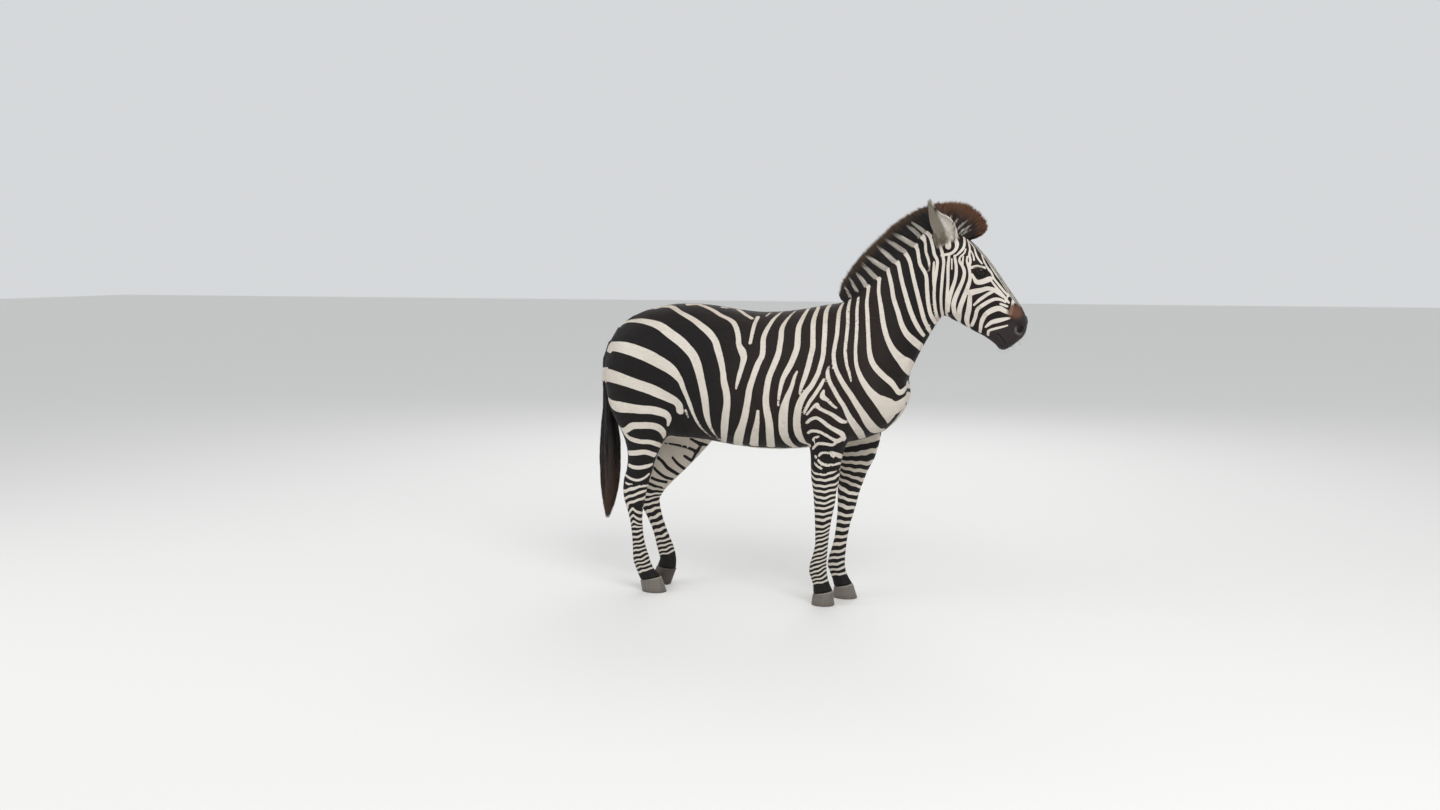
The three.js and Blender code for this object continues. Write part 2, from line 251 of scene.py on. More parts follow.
def ear_place(points):
    """Whether a point is on an ear, how far up it, and how far ahead of its middle line."""
    right = on_right(points)
    axis = EAR_TIP - EAR_ROOT
    up = (right - EAR_ROOT) @ axis / (axis @ axis)
    side = right - EAR_ROOT - up[:, None] * axis
    apart = np.linalg.norm(side, axis=1)
    on = ramp(up, 0.06, 0.16) * (1 - ramp(apart, 0.050, 0.058))
    return on, up, side[:, 0]


def region_weights(points):
    """Shares of head, ear and lower leg at each point."""
    head = ramp(past_poll(points), -0.05, 0.03) * (points[:, 2] > 1.0)
    ear = ear_place(points)[0]
    leg = 1 - ramp(points[:, 2], 0.52, 0.74)
    dock = ramp(-points[:, 0], 0.700, 0.715) * (np.abs(points[:, 1]) < 0.05)
    return head, ear, leg, dock


# ---- White stripes of the right side, (across, down, width) in pixels of the picture ----
# "back" carries the stripe on to the spine, "rear" round the buttock, "belly" under the body,
# "front" on to the middle of throat or breast and "under" below the jaw.
STRIPES = {
    "croup_1": ("back", [(657, 308, 7), (664, 306.5, 6.5), (671, 306.5, 6), (675, 308.5, 5.5),
        (680, 312, 5),
        (688, 316.5, 5.5), (694.5, 320.5, 6), (701, 325.5, 6.5), (708, 331.5, 7), (714.7, 340, 6.5),
        (718, 350, 7), (721, 361, 6.5), (723, 372, 6), (724, 382, 7), (726.4, 393, 7.5),
        (727, 404, 7.5), (725.6, 415, 8), (724.5, 426, 8), (724, 436, 6.5), (724, 442, 5)]),
    "croup_2": ("", [(620, 326.5, 3), (625, 322.5, 4), (634, 320.5, 5.5), (646, 321.5, 7),
        (659, 325.5, 8.5), (670, 333.5, 9.5), (680, 341, 9.5), (688, 349, 9), (693.5, 356, 9),
        (697.5, 366, 9), (701, 380, 8), (704.7, 398, 8.5), (706.6, 414, 7), (709.5, 425, 4.5),
        (714.5, 434, 2.5), (720, 440, 1.5)]),
    "loin_1": ("back", [(689, 301.8, 7), (694.5, 302.8, 6), (701, 305, 5), (707.5, 307.5, 4.5),
        (714, 310.7, 4.5), (720.5, 315, 4.5), (728, 318.5, 4.5), (733.5, 322.5, 5), (736.7, 329, 5),
        (738.4, 337, 5.2), (739, 345, 5.5), (742.5, 352, 7.5), (743.8, 358, 6.5), (742, 366, 5.3),
        (739.5, 375, 5), (737.6, 382, 3.8), (736, 388.5, 2)]),
    "loin_2": ("back", [(726, 305.2, 6), (732.5, 307.4, 5), (739, 310, 4.2), (745.5, 314.5, 3.8),
        (752, 318.5, 3.5)]),
    "loin_3": ("", [(758, 317, 4), (754, 326, 4), (750.3, 343, 3.5)]),
    "loin_4": ("", [(766.5, 316, 2.5), (771, 312.5, 2.5)]),
    "loin_5": ("", [(760.7, 312.5, 2), (764.3, 311.8, 2)]),
    "rump_1": ("rear", [(604, 347.5, 6), (607, 346.5, 9), (617, 346.3, 10.8), (628, 348.5, 12),
        (639, 352.3, 12.3), (650, 357, 12.3), (660.5, 362.8, 12), (669, 368, 11), (675, 373.5, 9),
        (680.3, 380.5, 6.2), (683.2, 388, 5.4), (686.7, 396.5, 4.8), (690, 405, 4.8),
        (693.3, 414, 4), (696.5, 420.5, 4), (700.6, 427, 3.3), (705.8, 432.5, 2.2),
        (711, 436.5, 1.5), (718, 440, 1.2)]),
    "rump_2": ("rear", [(600.5, 373.5, 12.5), (603, 374, 13), (611.5, 376, 12.8), (625, 380.5, 11.5),
        (638, 385, 10.8), (650, 389, 10.5), (660.5, 393.6, 10.5), (669, 397.8, 9.5), (675, 401, 8.5),
        (679, 405.5, 8.5), (680, 411, 8)]),
    "rump_3": ("rear", [(607.5, 396.5, 2), (610, 402, 7), (614, 405.5, 10), (620, 407, 11),
        (630, 408.2, 9.3), (641, 409.6, 8.5), (651, 410, 8), (659.6, 411.8, 8), (666, 414.5, 7),
        (669, 419, 5), (668, 425.5, 2.5)]),
    "rump_4": ("", [(685.7, 410.5, 2.8), (688, 417, 2.2)]),
    "thigh_1": ("", [(619, 425, 2), (622, 429.5, 4), (626, 430, 6), (632, 426, 7), (640, 425.5, 7),
        (650, 425.5, 7), (658, 427.5, 7), (663, 432, 6), (664.5, 437, 4)]),
    "thigh_2": ("", [(624, 433, 4), (630, 438.5, 5), (640, 441.5, 5), (650, 442, 5), (658, 444.5, 5),
        (661, 446, 4)]),
    "thigh_3": ("", [(629, 453, 5), (635, 453, 5.5), (645, 452, 5.5), (655, 455, 5)]),
    "thigh_4": ("", [(629, 465.2, 3.5), (633, 467, 4), (640, 467.6, 4), (648, 466, 4), (652, 464.3, 3)]),
    "gaskin_1": ("", [(625.5, 475, 2.4), (628.5, 477.3, 2.6), (632.5, 479.3, 2.6), (638.2, 480.2, 2.6),
        (644.5, 477.8, 2.4), (649, 474, 2.2)]),
    "gaskin_2": ("", [(625.6, 482.4, 1.8), (628, 484, 2.2), (631.8, 484.5, 1.8)]),
    "flank_1": ("back", [(783, 311, 2), (778, 315, 3), (773, 320, 4), (767.5, 328.5, 4.7),
        (763.5, 338, 5.2),
        (763, 348, 5.5), (762, 356, 5.7), (758, 364, 6), (753.5, 376, 6), (749.5, 389, 6.3),
        (747.5, 401, 6.5), (745.5, 413, 7), (742.5, 425, 7.5), (739, 436, 9.5), (738, 444, 9)]),
    "flank_2": ("back", [(798, 309, 1.5), (792, 314, 2.5), (786, 321, 3.5), (782, 328.6, 5),
        (781, 338, 5.5), (779.5, 348, 5.7), (778, 355, 6), (774, 365, 6), (769.2, 377, 6),
        (766.7, 389, 6), (765.8, 401, 6.5), (767, 411, 7), (769.2, 423, 7.5), (770, 435, 8),
        (771, 446, 8)]),
    "flank_3": ("", [(758, 411, 3), (757, 422, 5), (755, 434, 7.5), (754, 445, 9)]),
    "rib_1": ("back", [(810, 307, 3), (805.6, 313, 4), (801.3, 321, 5), (798.5, 328.6, 5.5),
        (797.7, 341, 6), (797, 348, 6), (794.6, 355, 6), (790.4, 365, 6), (783.7, 377, 5),
        (780.7, 387, 4), (779, 396.5, 3), (778, 405.5, 1.8)]),
    "rib_2": ("belly", [(797, 371.6, 2), (794.6, 377, 3.3), (791.6, 387, 4), (786.7, 399, 6),
        (783.7, 411, 8.5), (783.1, 423, 9), (784, 434, 8.5), (788.6, 442.6, 7), (797, 448, 4)]),
    "rib_3": ("back", [(819.5, 306, 3.5), (816, 313, 4.5), (813.4, 322.5, 5), (813, 334.6, 5),
        (812.8, 347, 5.3), (811, 355, 5.3), (808.6, 365, 5.3), (805, 377, 5), (801.3, 387, 3.5),
        (799.5, 394, 2)]),
    "rib_4": ("back", [(829.8, 305, 4), (826.4, 311.6, 4.5), (825.2, 322.5, 4.7), (824.7, 334.6, 4.8),
        (823.8, 347, 4.8), (823.2, 355, 4.5), (820.7, 365, 4.5), (817.5, 374.7, 4.5),
        (811.6, 385.6, 5), (805.6, 393, 5.5), (800.7, 401.4, 6.5), (797.7, 411, 7),
        (796.8, 423, 7.5), (798.3, 433, 7.5), (803, 441.4, 6), (810.4, 445.7, 3)]),
    "withers_1": ("back", [(844.4, 300.7, 3), (839.5, 310.4, 3.5), (838, 322.5, 4), (837, 334.6, 4),
        (834.7, 347, 4), (833.7, 355, 4), (834.7, 365, 4.2), (838.3, 374.7, 4.5), (844.4, 385.6, 5),
        (851, 395.3, 5.5), (857, 405, 6), (862.6, 413.5, 7), (868.7, 423, 9), (876, 430.5, 10),
        (883, 430.5, 8)]),
    "withers_2": ("", [(829.2, 365.6, 1.5), (827.6, 373.5, 4), (829.8, 382, 4), (833.5, 389, 4.2),
        (838.3, 397.7, 4.2), (843.8, 406, 4.5), (848, 414.7, 5.5), (853, 423, 7), (858.4, 430.5, 8),
        (862.6, 438, 7)]),
    "withers_3": ("back", [(850, 300, 3.5), (848, 310.4, 3.5), (847.8, 322.5, 3.3), (846.8, 334.6, 3.3),
        (845.4, 347, 3.3), (845.4, 355, 3.3), (846.8, 365, 3), (849.3, 373.5, 2.8), (851, 381, 1.5)]),
    "withers_4": ("", [(858.4, 298, 3), (857, 310, 3.3), (857, 322.5, 3.3), (856.5, 334.6, 3.3),
        (855.6, 347, 3.3), (855.6, 355, 3.5), (856.5, 365, 4), (859.6, 374.7, 5), (863.8, 383, 6),
        (870, 391.7, 7.5), (877, 399, 10), (883.5, 404, 15), (889, 409, 19), (890.5, 414, 15),
        (889.5, 419, 8), (888.5, 422.5, 3)]),
    "breast_1": ("front", [(887, 404, 10), (894, 408, 14), (900, 406.5, 15), (904.5, 402.5, 14)]),
    "breast_2": ("front", [(886, 433.5, 4), (892, 428.5, 8), (898, 422, 12), (902.5, 416, 14),
        (905, 411.5, 13)]),
    "neck_1": ("front", [(868.4, 289, 4), (867.5, 296, 3.5), (866.8, 304, 3.8), (867.5, 316, 4),
        (868, 328.6, 4), (868.7, 340.7, 4.3), (869.6, 352.8, 4.8), (872.3, 362.5, 5.5),
        (878.4, 371, 6), (885.7, 378, 6.5), (891.7, 383, 7), (895.5, 388, 6.5), (898.5, 392, 6),
        (902.5, 391.5, 5), (906.5, 387, 4.5), (909, 383, 4)]),
    "neck_2": ("front", [(879.3, 280.5, 4), (878.6, 290, 3.5), (879.6, 298, 3.8), (881.4, 310, 4.5),
        (883.2, 322.5, 4.8), (885.7, 333.4, 5), (889.3, 343, 5.5), (894.2, 351.6, 7), (901.4, 360, 10),
        (907, 365, 14), (911, 369, 14)]),
    "neck_3": ("front", [(880, 263.5, 3.5), (887, 268, 4), (888.6, 273, 4), (891.5, 285, 4.2),
        (893.5, 298, 4.3), (897.8, 311.6, 4.5), (901.4, 323.7, 5), (906.3, 333.4, 6), (913.6, 340.7, 7),
        (921, 347, 7)]),
    "neck_4": ("", [(880, 252, 3), (889.2, 257.7, 4), (897.2, 262.3, 4.5), (899, 267, 4),
        (901.8, 280.7, 4),
        (905.8, 295.6, 4.3), (910.4, 310.6, 4.5), (915.6, 323, 4.5), (921.3, 332.4, 4),
        (924.2, 335.8, 3)]),
    "neck_5": ("front", [(885.7, 239.4, 2.5), (893.8, 245, 4), (903, 251, 4.5), (907.6, 256.6, 4),
        (910.4, 263.5, 3.8), (913.3, 277, 3.8), (916.7, 291, 4), (920.2, 304.8, 4), (924.2, 319.7, 4.2),
        (929.4, 330, 4.2), (931.7, 333.5, 4)]),
    "neck_6": ("front", [(891.5, 232.5, 2.5), (903, 237, 4), (911, 242, 4.5), (916.7, 247.4, 4.2),
        (918.5, 255.4, 3.5), (920.2, 264.6, 3.5), (926, 275, 3.5), (927, 288.7, 3.8), (928.2, 302.5, 3.8),
        (930.5, 314, 3.8), (935, 322, 3.8), (938.5, 325.5, 3)]),
    "neck_7": ("", [(909, 224, 2), (918, 231.3, 3.5), (923.6, 237, 3.8), (925.4, 244, 3), (926, 252, 3),
        (928.8, 261, 2.5), (929.4, 270.4, 1.2)]),
    "neck_8": ("front", [(912.7, 222.7, 2), (920.2, 227.3, 3), (927, 232.5, 3.5), (930.5, 238.2, 3.3),
        (932.8, 246.3, 3.2), (934.4, 254.3, 3.2), (937.4, 261, 3), (936.3, 272.7, 2.9),
        (934.6, 284, 2.9), (934.2, 296.8, 2.9), (935.2, 308.3, 3), (937.4, 317.4, 3), (939.7, 322, 2.8)]),
    "neck_9": ("", [(934, 262, 1.5), (933.5, 273, 2.6), (933.6, 285, 2.2)]),
    "jaw_1": ("under", [(938.5, 236, 2.5), (938.5, 241.7, 3.2), (941.4, 249.7, 3.3), (943, 256.6, 3.2),
        (943.7, 263.5, 3), (942.6, 275, 2.9), (941.6, 287.6, 2.9), (941, 300, 3), (941.8, 310.6, 3),
        (944, 319.7, 2.8)]),
    "jaw_2": ("under", [(949, 256.6, 2.5), (948, 268, 3), (948, 279.6, 3), (947.2, 293, 3),
        (946.6, 304.8, 3), (946.8, 314, 3), (948.5, 318.6, 3)]),
    "jaw_3": ("", [(951.8, 259, 1.5), (951.8, 269, 1.2)]),
    "jaw_4": ("", [(954.6, 256, 2.5), (956.3, 268, 3), (955.2, 279.6, 3.3), (951.8, 290, 3.8),
        (949, 300, 4),
        (947.7, 310.6, 4)]),
    "jaw_5": ("under", [(965.8, 249.2, 1.4), (964, 253.5, 1.7), (960.2, 257, 1.8), (959.4, 261, 2.4),
        (962.7, 266.5, 3), (964.4, 272.7, 3.2), (962.7, 280.7, 3.5), (959.2, 288.7, 4),
        (955.2, 298, 4.5), (953.5, 306, 4.5), (955.2, 315, 4), (958, 319.7, 3)]),
    "temple_1": ("", [(963.3, 256.5, 1.5), (962.7, 261.4, 1.8), (962.6, 265, 1.8)]),
    "jaw_6": ("under", [(967.3, 256.7, 1.8), (966.8, 261.5, 1.8), (968.6, 267, 2.4), (970, 274, 2.8),
        (969.6, 281, 3.4), (967, 289, 4), (963, 299.5, 4.6), (960, 308, 4.8), (959.2, 315, 4.5)]),
    "brow": ("", [(971, 267.4, 2.6), (976.5, 266.8, 3.6), (981.5, 267, 3.4), (985, 267.8, 2.6)]),
    "under_eye": ("", [(972, 274, 1.8), (974.2, 278.5, 3), (977, 282, 4.6), (982, 281.8, 5),
        (987, 280, 5.2), (990.3, 278.8, 5)]),
    "cheek_1": ("", [(970, 293, 6), (975, 291.5, 5.5), (980, 290.5, 5), (988, 288.5, 4), (995, 290.5, 4),
        (1003, 296.5, 2.5)]),
    "cheek_2": ("", [(974, 305, 2), (980, 299.5, 3.2), (986.8, 294.8, 3.2), (992.5, 291.6, 3)]),
    "cheek_3": ("under", [(970, 296, 4), (969, 308, 5), (966.7, 319.7, 5), (968.4, 326.6, 4)]),
    "cheek_4": ("under", [(971.8, 325.5, 3), (975.3, 317.4, 3.4), (977.4, 309.4, 3.6),
        (983.3, 304.8, 3.8),
        (990.2, 300.8, 3.4), (996, 299, 3), (1001.7, 300, 2.5), (1005.5, 302, 2)]),
    "cheek_5": ("under", [(980, 332, 3), (981.6, 322, 4), (985.6, 314.5, 4.6), (992.5, 310, 5.2),
        (999.4, 308.4, 5), (1005, 311, 4.2), (1010.5, 313.4, 3.5)]),
    "cheek_6": ("", [(1000.5, 303.9, 2), (1004, 305.2, 2.2), (1007.4, 306.5, 2)]),
    "cheek_7": ("", [(985.6, 327, 2), (991.4, 322.5, 4), (999.4, 320.2, 4.2), (1009.7, 318, 2)]),
    "cheek_8": ("", [(988, 335, 2.4), (988.6, 331, 2.6), (993.7, 329, 2.4), (1001.7, 327, 2),
        (1007.4, 325.5, 1.5)]),
    "front_1": ("", [(967, 238.3, 1.6), (968.8, 243.5, 1.8), (970, 249.5, 2), (969.3, 254.5, 2.2),
        (970.4, 261, 2.4), (969.4, 266, 2.6), (969.6, 271, 2.6)]),
    "front_2": ("", [(968.8, 241.4, 1.5), (974, 247.4, 2), (976, 254, 2.3), (978.5, 259, 2.4),
        (982, 263.6, 1.8)]),
    "front_3": ("", [(976, 245.6, 1.6), (980.3, 251, 2), (982.7, 257.7, 2.2), (986.4, 266.2, 2.4),
        (991.2, 272.3, 2.6), (993.8, 278.3, 2.6), (998.5, 284.4, 2.6), (1004.5, 291.7, 2.4),
        (1008.8, 296, 2)]),
    "front_4": ("", [(991.8, 281.4, 1.8), (997.9, 289.2, 2.5), (1004.5, 297, 2.6), (1008.8, 302.6, 2.2)]),
    "front_5": ("", [(971.3, 251, 1.3), (973.4, 256, 1.5), (974, 260, 1.8)]),
    "front_6": ("", [(980.3, 248.6, 1.3), (986.4, 259, 1.7), (991.2, 267.4, 1.9), (996, 274.7, 2),
        (1002, 282.6, 2), (1009.4, 290.5, 1.8), (1014.8, 296.5, 1.6)]),
    "ear_foot": ("", [(941.5, 255.6, 2.2), (944.5, 254.8, 2.5), (949.5, 254, 2.8), (953.5, 251.8, 2.8),
        (956.3, 248.2, 3.2), (957, 244, 4), (956.4, 240.5, 4.6)]),
    "ear_front": ("", [(954.8, 256.4, 1.4), (958.2, 253.8, 2), (961.4, 250.6, 2.5), (963.9, 246.8, 2.6),
        (964.6, 240.5, 2.6), (963.2, 234.5, 2.3)]),
    "ear_patch": ("", [(948.3, 242, 6), (948.2, 247, 5.4)]),
    "shoulder_1": ("", [(823.8, 379.5, 2.5), (820.7, 385.6, 3.5), (815.3, 394, 3.5), (809.2, 402.6, 3.5),
        (805, 411, 2.5), (804, 413.5, 1.5)]),
    "shoulder_2": ("", [(823.8, 390.5, 2), (822.5, 396.5, 5.5), (827.4, 400, 3.5), (832.3, 405, 3),
        (836.5, 408, 2)]),
    "shoulder_3": ("", [(806.8, 414.7, 2), (812.8, 407.5, 2.5), (817, 404, 3), (818, 406.8, 4),
        (822.5, 410, 3.5), (832.3, 414.7, 4), (840.8, 420.8, 4.5), (845.6, 422, 3)]),
    "shoulder_4": ("", [(806.8, 423, 3), (810.4, 419.6, 3.5), (816.5, 417.8, 3.5), (822.5, 421.4, 3.8),
        (829.8, 427, 4), (837, 431, 4.5), (842, 434, 5), (844.4, 439, 5)]),
    "shoulder_5": ("", [(808, 433, 2.5), (811.6, 431, 3), (819, 431.7, 3), (826.2, 435.3, 3),
        (832.3, 439, 3),
        (837, 441, 4.5), (840, 440, 5)]),
    "elbow_1": ("", [(812.8, 440, 2.5), (815, 437.8, 2.5), (819, 436.6, 2)]),
    "elbow_2": ("", [(812.8, 448.7, 2.5), (817.7, 443.8, 3), (825, 443.8, 3), (832.3, 445, 3),
        (836, 443, 2.5)]),
    "elbow_3": ("", [(831, 452, 2.2), (836, 454.2, 4.2), (842.5, 456.5, 4.2)]),
    "arm_1": ("", [(818.8, 455.8, 2.2), (821.5, 453, 2.4), (827.5, 452.9, 2.4), (833.5, 457, 2)]),
    "arm_2": ("", [(815, 455.5, 2.6), (817.2, 459.2, 2.8), (821.3, 463.4, 3), (827.5, 465.2, 3),
        (834, 464.5, 2.8), (840.5, 463, 2.6)]),
    "arm_3": ("", [(814.5, 463, 2.4), (817.5, 466.3, 2.6), (822, 469, 2.2)]),
}
# White streaks of the mane, from near the tips down to the neck.
MANE_STRIPES = {
    "mane_14": [(850, 277, 1.8), (854.5, 284, 3), (859, 291.5, 3.4)],
    "mane_15": [(845, 285, 1.6), (848.5, 290.5, 2.6), (852, 297, 3)],
    "mane_1": [(857, 272, 2), (864, 280, 4), (868.6, 287.6, 4.5)],
    "mane_2": [(860, 261, 2.5), (870, 270, 4.5), (879.5, 279.5, 4.5)],
    "mane_3": [(864.6, 254, 2), (876, 261.5, 4.5), (888.7, 269.5, 5)],
    "mane_4": [(876, 244, 2), (888, 254, 4.5), (898, 263.5, 5)],
    "mane_5": [(883, 237, 2), (895, 244.5, 4.5), (906.5, 252, 5)],
    "mane_6": [(893, 233, 2), (905, 239, 4.5), (916.5, 246, 5)],
    "mane_7": [(907, 225, 2), (916, 231, 4), (924, 239.5, 4)],
    "mane_8": [(913, 222.5, 2), (922, 228.5, 3.5), (930.5, 236, 3.5)],
    "mane_9": [(953.5, 213, 1.3), (951.7, 220, 1.8), (950.5, 227, 2)],
    "mane_10": [(962, 216.5, 1.3), (956.5, 222, 1.9), (952, 228, 2)],
    "mane_11": [(969, 220, 1.3), (962, 226, 1.9), (956.5, 231.5, 2)],
    "mane_12": [(973, 225, 1.2), (965, 229.5, 1.8), (960, 234, 2)],
    "mane_13": [(972, 230, 1), (966, 232.5, 1.4), (962, 235.5, 1.6)],
}
# Dark lines over the pale skin of the far flank and inner thigh.
DARK_LINES = {
    "breast_line_1": [(884, 430, 2.6), (891, 423.5, 2.2), (897, 416.5, 2.2), (902, 409.5, 1.5)],
    "breast_line_2": [(900.5, 388, 3.2), (904, 385, 2), (908.5, 378.5, 1.6)],
    "inner_1": [(662, 442.8, 2), (671, 444, 2.2), (680, 445.6, 2.6), (690, 448.4, 3.2), (701, 453.8, 4)],
    "inner_2": [(686, 436, 2.4), (693, 440, 3), (700, 443.6, 4), (708, 445, 3)],
    "inner_3": [(684.5, 456, 3), (689, 459, 3.4), (693.5, 461.7, 3.4)],
    "inner_4": [(672.5, 457.5, 2.6), (678, 464, 3.2), (685, 469, 3.4)],
    "inner_5": [(656, 456.5, 3), (662, 461, 3.4), (668, 468, 3.8), (678, 474.2, 3.6)],
    "inner_6": [(653.3, 467, 3), (658, 472, 3.2), (665, 477, 3.2), (672.5, 479.2, 3)],
    "inner_7": [(649, 476.8, 2.8), (657.4, 480.2, 3), (666.4, 482.2, 3)],
    "inner_8": [(649, 483.4, 3), (655, 486.2, 3.2), (661.5, 487.8, 3)],
    "inner_9": [(655, 489.4, 2.8), (659, 493.4, 2.8)],
}
# Leg bands: the picture column of the leg, the plane it stands in, the row of each white
# band, and how the bands slope, as (row, rise towards the front).
LEG_BANDS = {
    "fore_right": (822, -0.115,
        (471.9, 478, 485, 490.5, 496.5, 501.5, 507, 513.5, 519.5, 526, 531, 535.5, 540, 544.5, 549,
         553.5, 558, 562.5, 567, 571, 575, 579, 583),
        ((470, 0.0), (500, 0.05), (525, 0.1), (536, 0.4), (570, 0.45), (584, 0.25))),
    "hind_right": (640, -0.115,
        (429, 441, 453, 466.5, 479.5, 488, 495, 501.8, 508, 514.3, 520.5, 526.3, 531.6, 536.6, 541.2,
         545.5, 550, 554.4, 558.5, 562.3, 566.1, 569.9),
        ((429, 0.0), (472, 0.0), (482, 0.15), (490, 0.40), (503, 0.40), (510, 0.1), (520, 0.0),
         (528, 0.2), (545, 0.28), (570, 0.3))),
    "fore_left": (852, 0.035,
        (445, 454.7, 463.9, 470.8, 477, 484, 492.5, 500, 508, 516, 524, 531, 538.5, 546, 553, 559.5,
         565.5, 570.6, 575.8),
        ((445, 0.25), (455, 0.1), (470, -0.1), (485, -0.4), (510, -0.2), (531, 0.0), (545, 0.2),
        (576, 0.15))),
    "hind_left": (668, 0.035,
        (425, 437, 449, 460.5, 471, 481, 490, 496.2, 501, 506.5, 512.3, 518.6, 525, 531.2, 536.8,
         541.5, 545.8, 549.5, 553.1),
        ((425, 0.0), (490, -0.2), (500, 0.3), (520, 0.35), (553, 0.25))),
}
# The near hock's bands are chevrons between these rows.
HOCK_COLUMN, HOCK_FOLD_ROWS, NEAR_LEGS_Y = 640, (526, 506), -0.115
# Above these rows the bands hold only where the strokes of the picture don't: on the faces
# turned away from it on the near hind leg, and on all but the pale inner face of the far one.
BAND_LIMIT = {"hind_right": (640, 484, -0.115), "hind_left": (668, 488, 0.035)}
LEG_AT = {"fore_right": (0.120, -1), "hind_right": (-0.655, -1), "fore_left": (0.1815, 1),
          "hind_left": (-0.630, 1)}


# ---- Sight lines of the picture ----
def camera_axes():
    """Right, ahead and up of the camera."""
    right = np.array([math.cos(CAMERA_TURN), math.sin(CAMERA_TURN), 0.0])
    level = np.array([-math.sin(CAMERA_TURN), math.cos(CAMERA_TURN), 0.0])
    high = np.array([0.0, 0.0, 1.0])
    ahead = level * math.cos(CAMERA_PITCH) - high * math.sin(CAMERA_PITCH)
    above = high * math.cos(CAMERA_PITCH) + level * math.sin(CAMERA_PITCH)
    return right, ahead, above


RIGHT, AHEAD, ABOVE = camera_axes()


def sight(across, down):
    """The direction of the sight line through a pixel."""
    line = AHEAD + RIGHT * (across - PICTURE[0] / 2) / FOCAL_PX
    return unit(line - ABOVE * (down - PICTURE[1] / 2) / FOCAL_PX)


def project(points):
    """Where points fall in the picture."""
    arm = points - CAMERA_AT
    deep = arm @ AHEAD
    return np.stack([PICTURE[0] / 2 + FOCAL_PX * (arm @ RIGHT) / deep,
                     PICTURE[1] / 2 - FOCAL_PX * (arm @ ABOVE) / deep], 1)


def cast(tree, across, down, side_limit=0.03):
    """Where the sight line through a pixel meets the near side, or comes closest to it."""
    line = sight(across, down)
    start = CAMERA_AT
    spot, _, _, _ = tree.ray_cast(Vector(start), Vector(line))
    if spot is not None and spot.y < side_limit:
        return np.array(spot)
    best, gap = None, 9.0
    for reach in np.linspace(4.9, 5.75, 35):
        near, _, _, apart = tree.find_nearest(Vector(start + line * reach))
        if apart < gap and near.y < side_limit:
            best, gap = np.array(near), apart
    return best


# ---- Skin ----
def smooth_shell(thing):
    """Rounds the facets off: far on the trunk, little on head and legs, hardly on the ears."""
    points = read_mesh(thing.data)
    head, ear, leg, dock = region_weights(points)
    neck = ramp(points[:, 0], 0.25, 0.5)
    weight = 1 - 0.45 * neck
    weight = weight * (1 - head) + 0.055 * head
    weight = weight * (1 - leg) + 0.06 * leg
    weight = weight * (1 - dock) + 0.05 * dock
    weight = weight * (1 - ear) + 0.006 * ear
    set_weights(thing, "round", weight, 200)
    spread = VOXEL * math.sqrt(SMOOTHING_FACTOR / 2)
    smooth = thing.modifiers.new("round", "SMOOTH")
    smooth.factor = SMOOTHING_FACTOR
    smooth.iterations = round((SMOOTHING_REACH / spread) ** 2)
    smooth.vertex_group = "round"
    applied(thing)
    thing.vertex_groups.clear()


def both_sides(spots):
    for centre, radii, height in spots:
        yield centre, radii, height
        yield (centre[0], -centre[1], centre[2]), radii, height


# (x, y, z), radii, height: muscle and bone under the skin, the same on both sides.
BODY_FORMS = [
    ((0.372, 0.165, 0.935), (0.055, 0.06, 0.06), 0.010),     # point of the shoulder
    ((0.250, 0.190, 1.090), (0.040, 0.08, 0.120), 0.006),    # ridge of the shoulder blade
    ((0.305, 0.160, 1.130), (0.030, 0.08, 0.110), -0.006),   # hollow ahead of it
    ((0.150, 0.200, 1.080), (0.045, 0.08, 0.120), -0.005),   # hollow behind it
    ((0.110, 0.190, 0.850), (0.080, 0.09, 0.080), 0.009),    # triceps
    ((0.030, 0.200, 0.800), (0.030, 0.08, 0.070), -0.007),   # hollow behind the elbow
    ((0.430, 0.070, 0.900), (0.060, 0.045, 0.070), 0.010),   # breast muscle
    ((-0.375, 0.175, 1.185), (0.045, 0.06, 0.040), 0.009),   # point of the hip
    ((-0.300, 0.230, 1.020), (0.070, 0.08, 0.070), -0.010),  # hollow of the flank
    ((-0.395, 0.190, 0.790), (0.060, 0.09, 0.060), 0.008),   # stifle
    ((-0.590, 0.150, 0.960), (0.022, 0.09, 0.130), -0.006),  # groove of the hamstring
    ((-0.690, 0.095, 1.080), (0.050, 0.05, 0.050), 0.007),   # point of the buttock
    ((-0.560, 0.150, 0.720), (0.050, 0.06, 0.070), 0.004),   # second thigh
]
# The same in the head's frame: (s, h, y), radius, height.
HEAD_FORMS = [
    ((0.175, -0.002, 0.056), 0.026, -0.006),   # hollow above the eye
    ((0.238, 0.026, 0.070), 0.018, 0.004),     # bone over the eye
    ((0.330, -0.052, 0.062), 0.040, -0.003),   # below the eye
    ((0.215, -0.150, 0.070), 0.060, 0.005),    # round of the jaw
    ((0.360, -0.010, 0.046), 0.040, -0.004),   # side of the nose
    ((0.395, -0.125, 0.045), 0.040, -0.005),   # behind the lips
    ((0.100, -0.085, 0.074), 0.035, -0.005),   # behind the jaw
]
FACE_CREST = [(0.262, -0.072, 0.086), (0.310, -0.078, 0.076), (0.365, -0.080, 0.064),
              (0.410, -0.084, 0.054)]
LIP_LINE = [(997.5, 334), (1001, 338), (1004.5, 342.5), (1007.5, 347.5)]
LID_SLANT = math.radians(28)
LID_HALF_LENGTH, UPPER_LID, LOWER_LID = 60, 36, 25     # the eye's opening, in degrees of the ball
FORE_LEGS = {"right": (0.120, -0.088), "left": (0.1815, 0.063)}
HIND_LEGS = {"right": (-0.640, -0.095), "left": (-0.640, 0.049)}


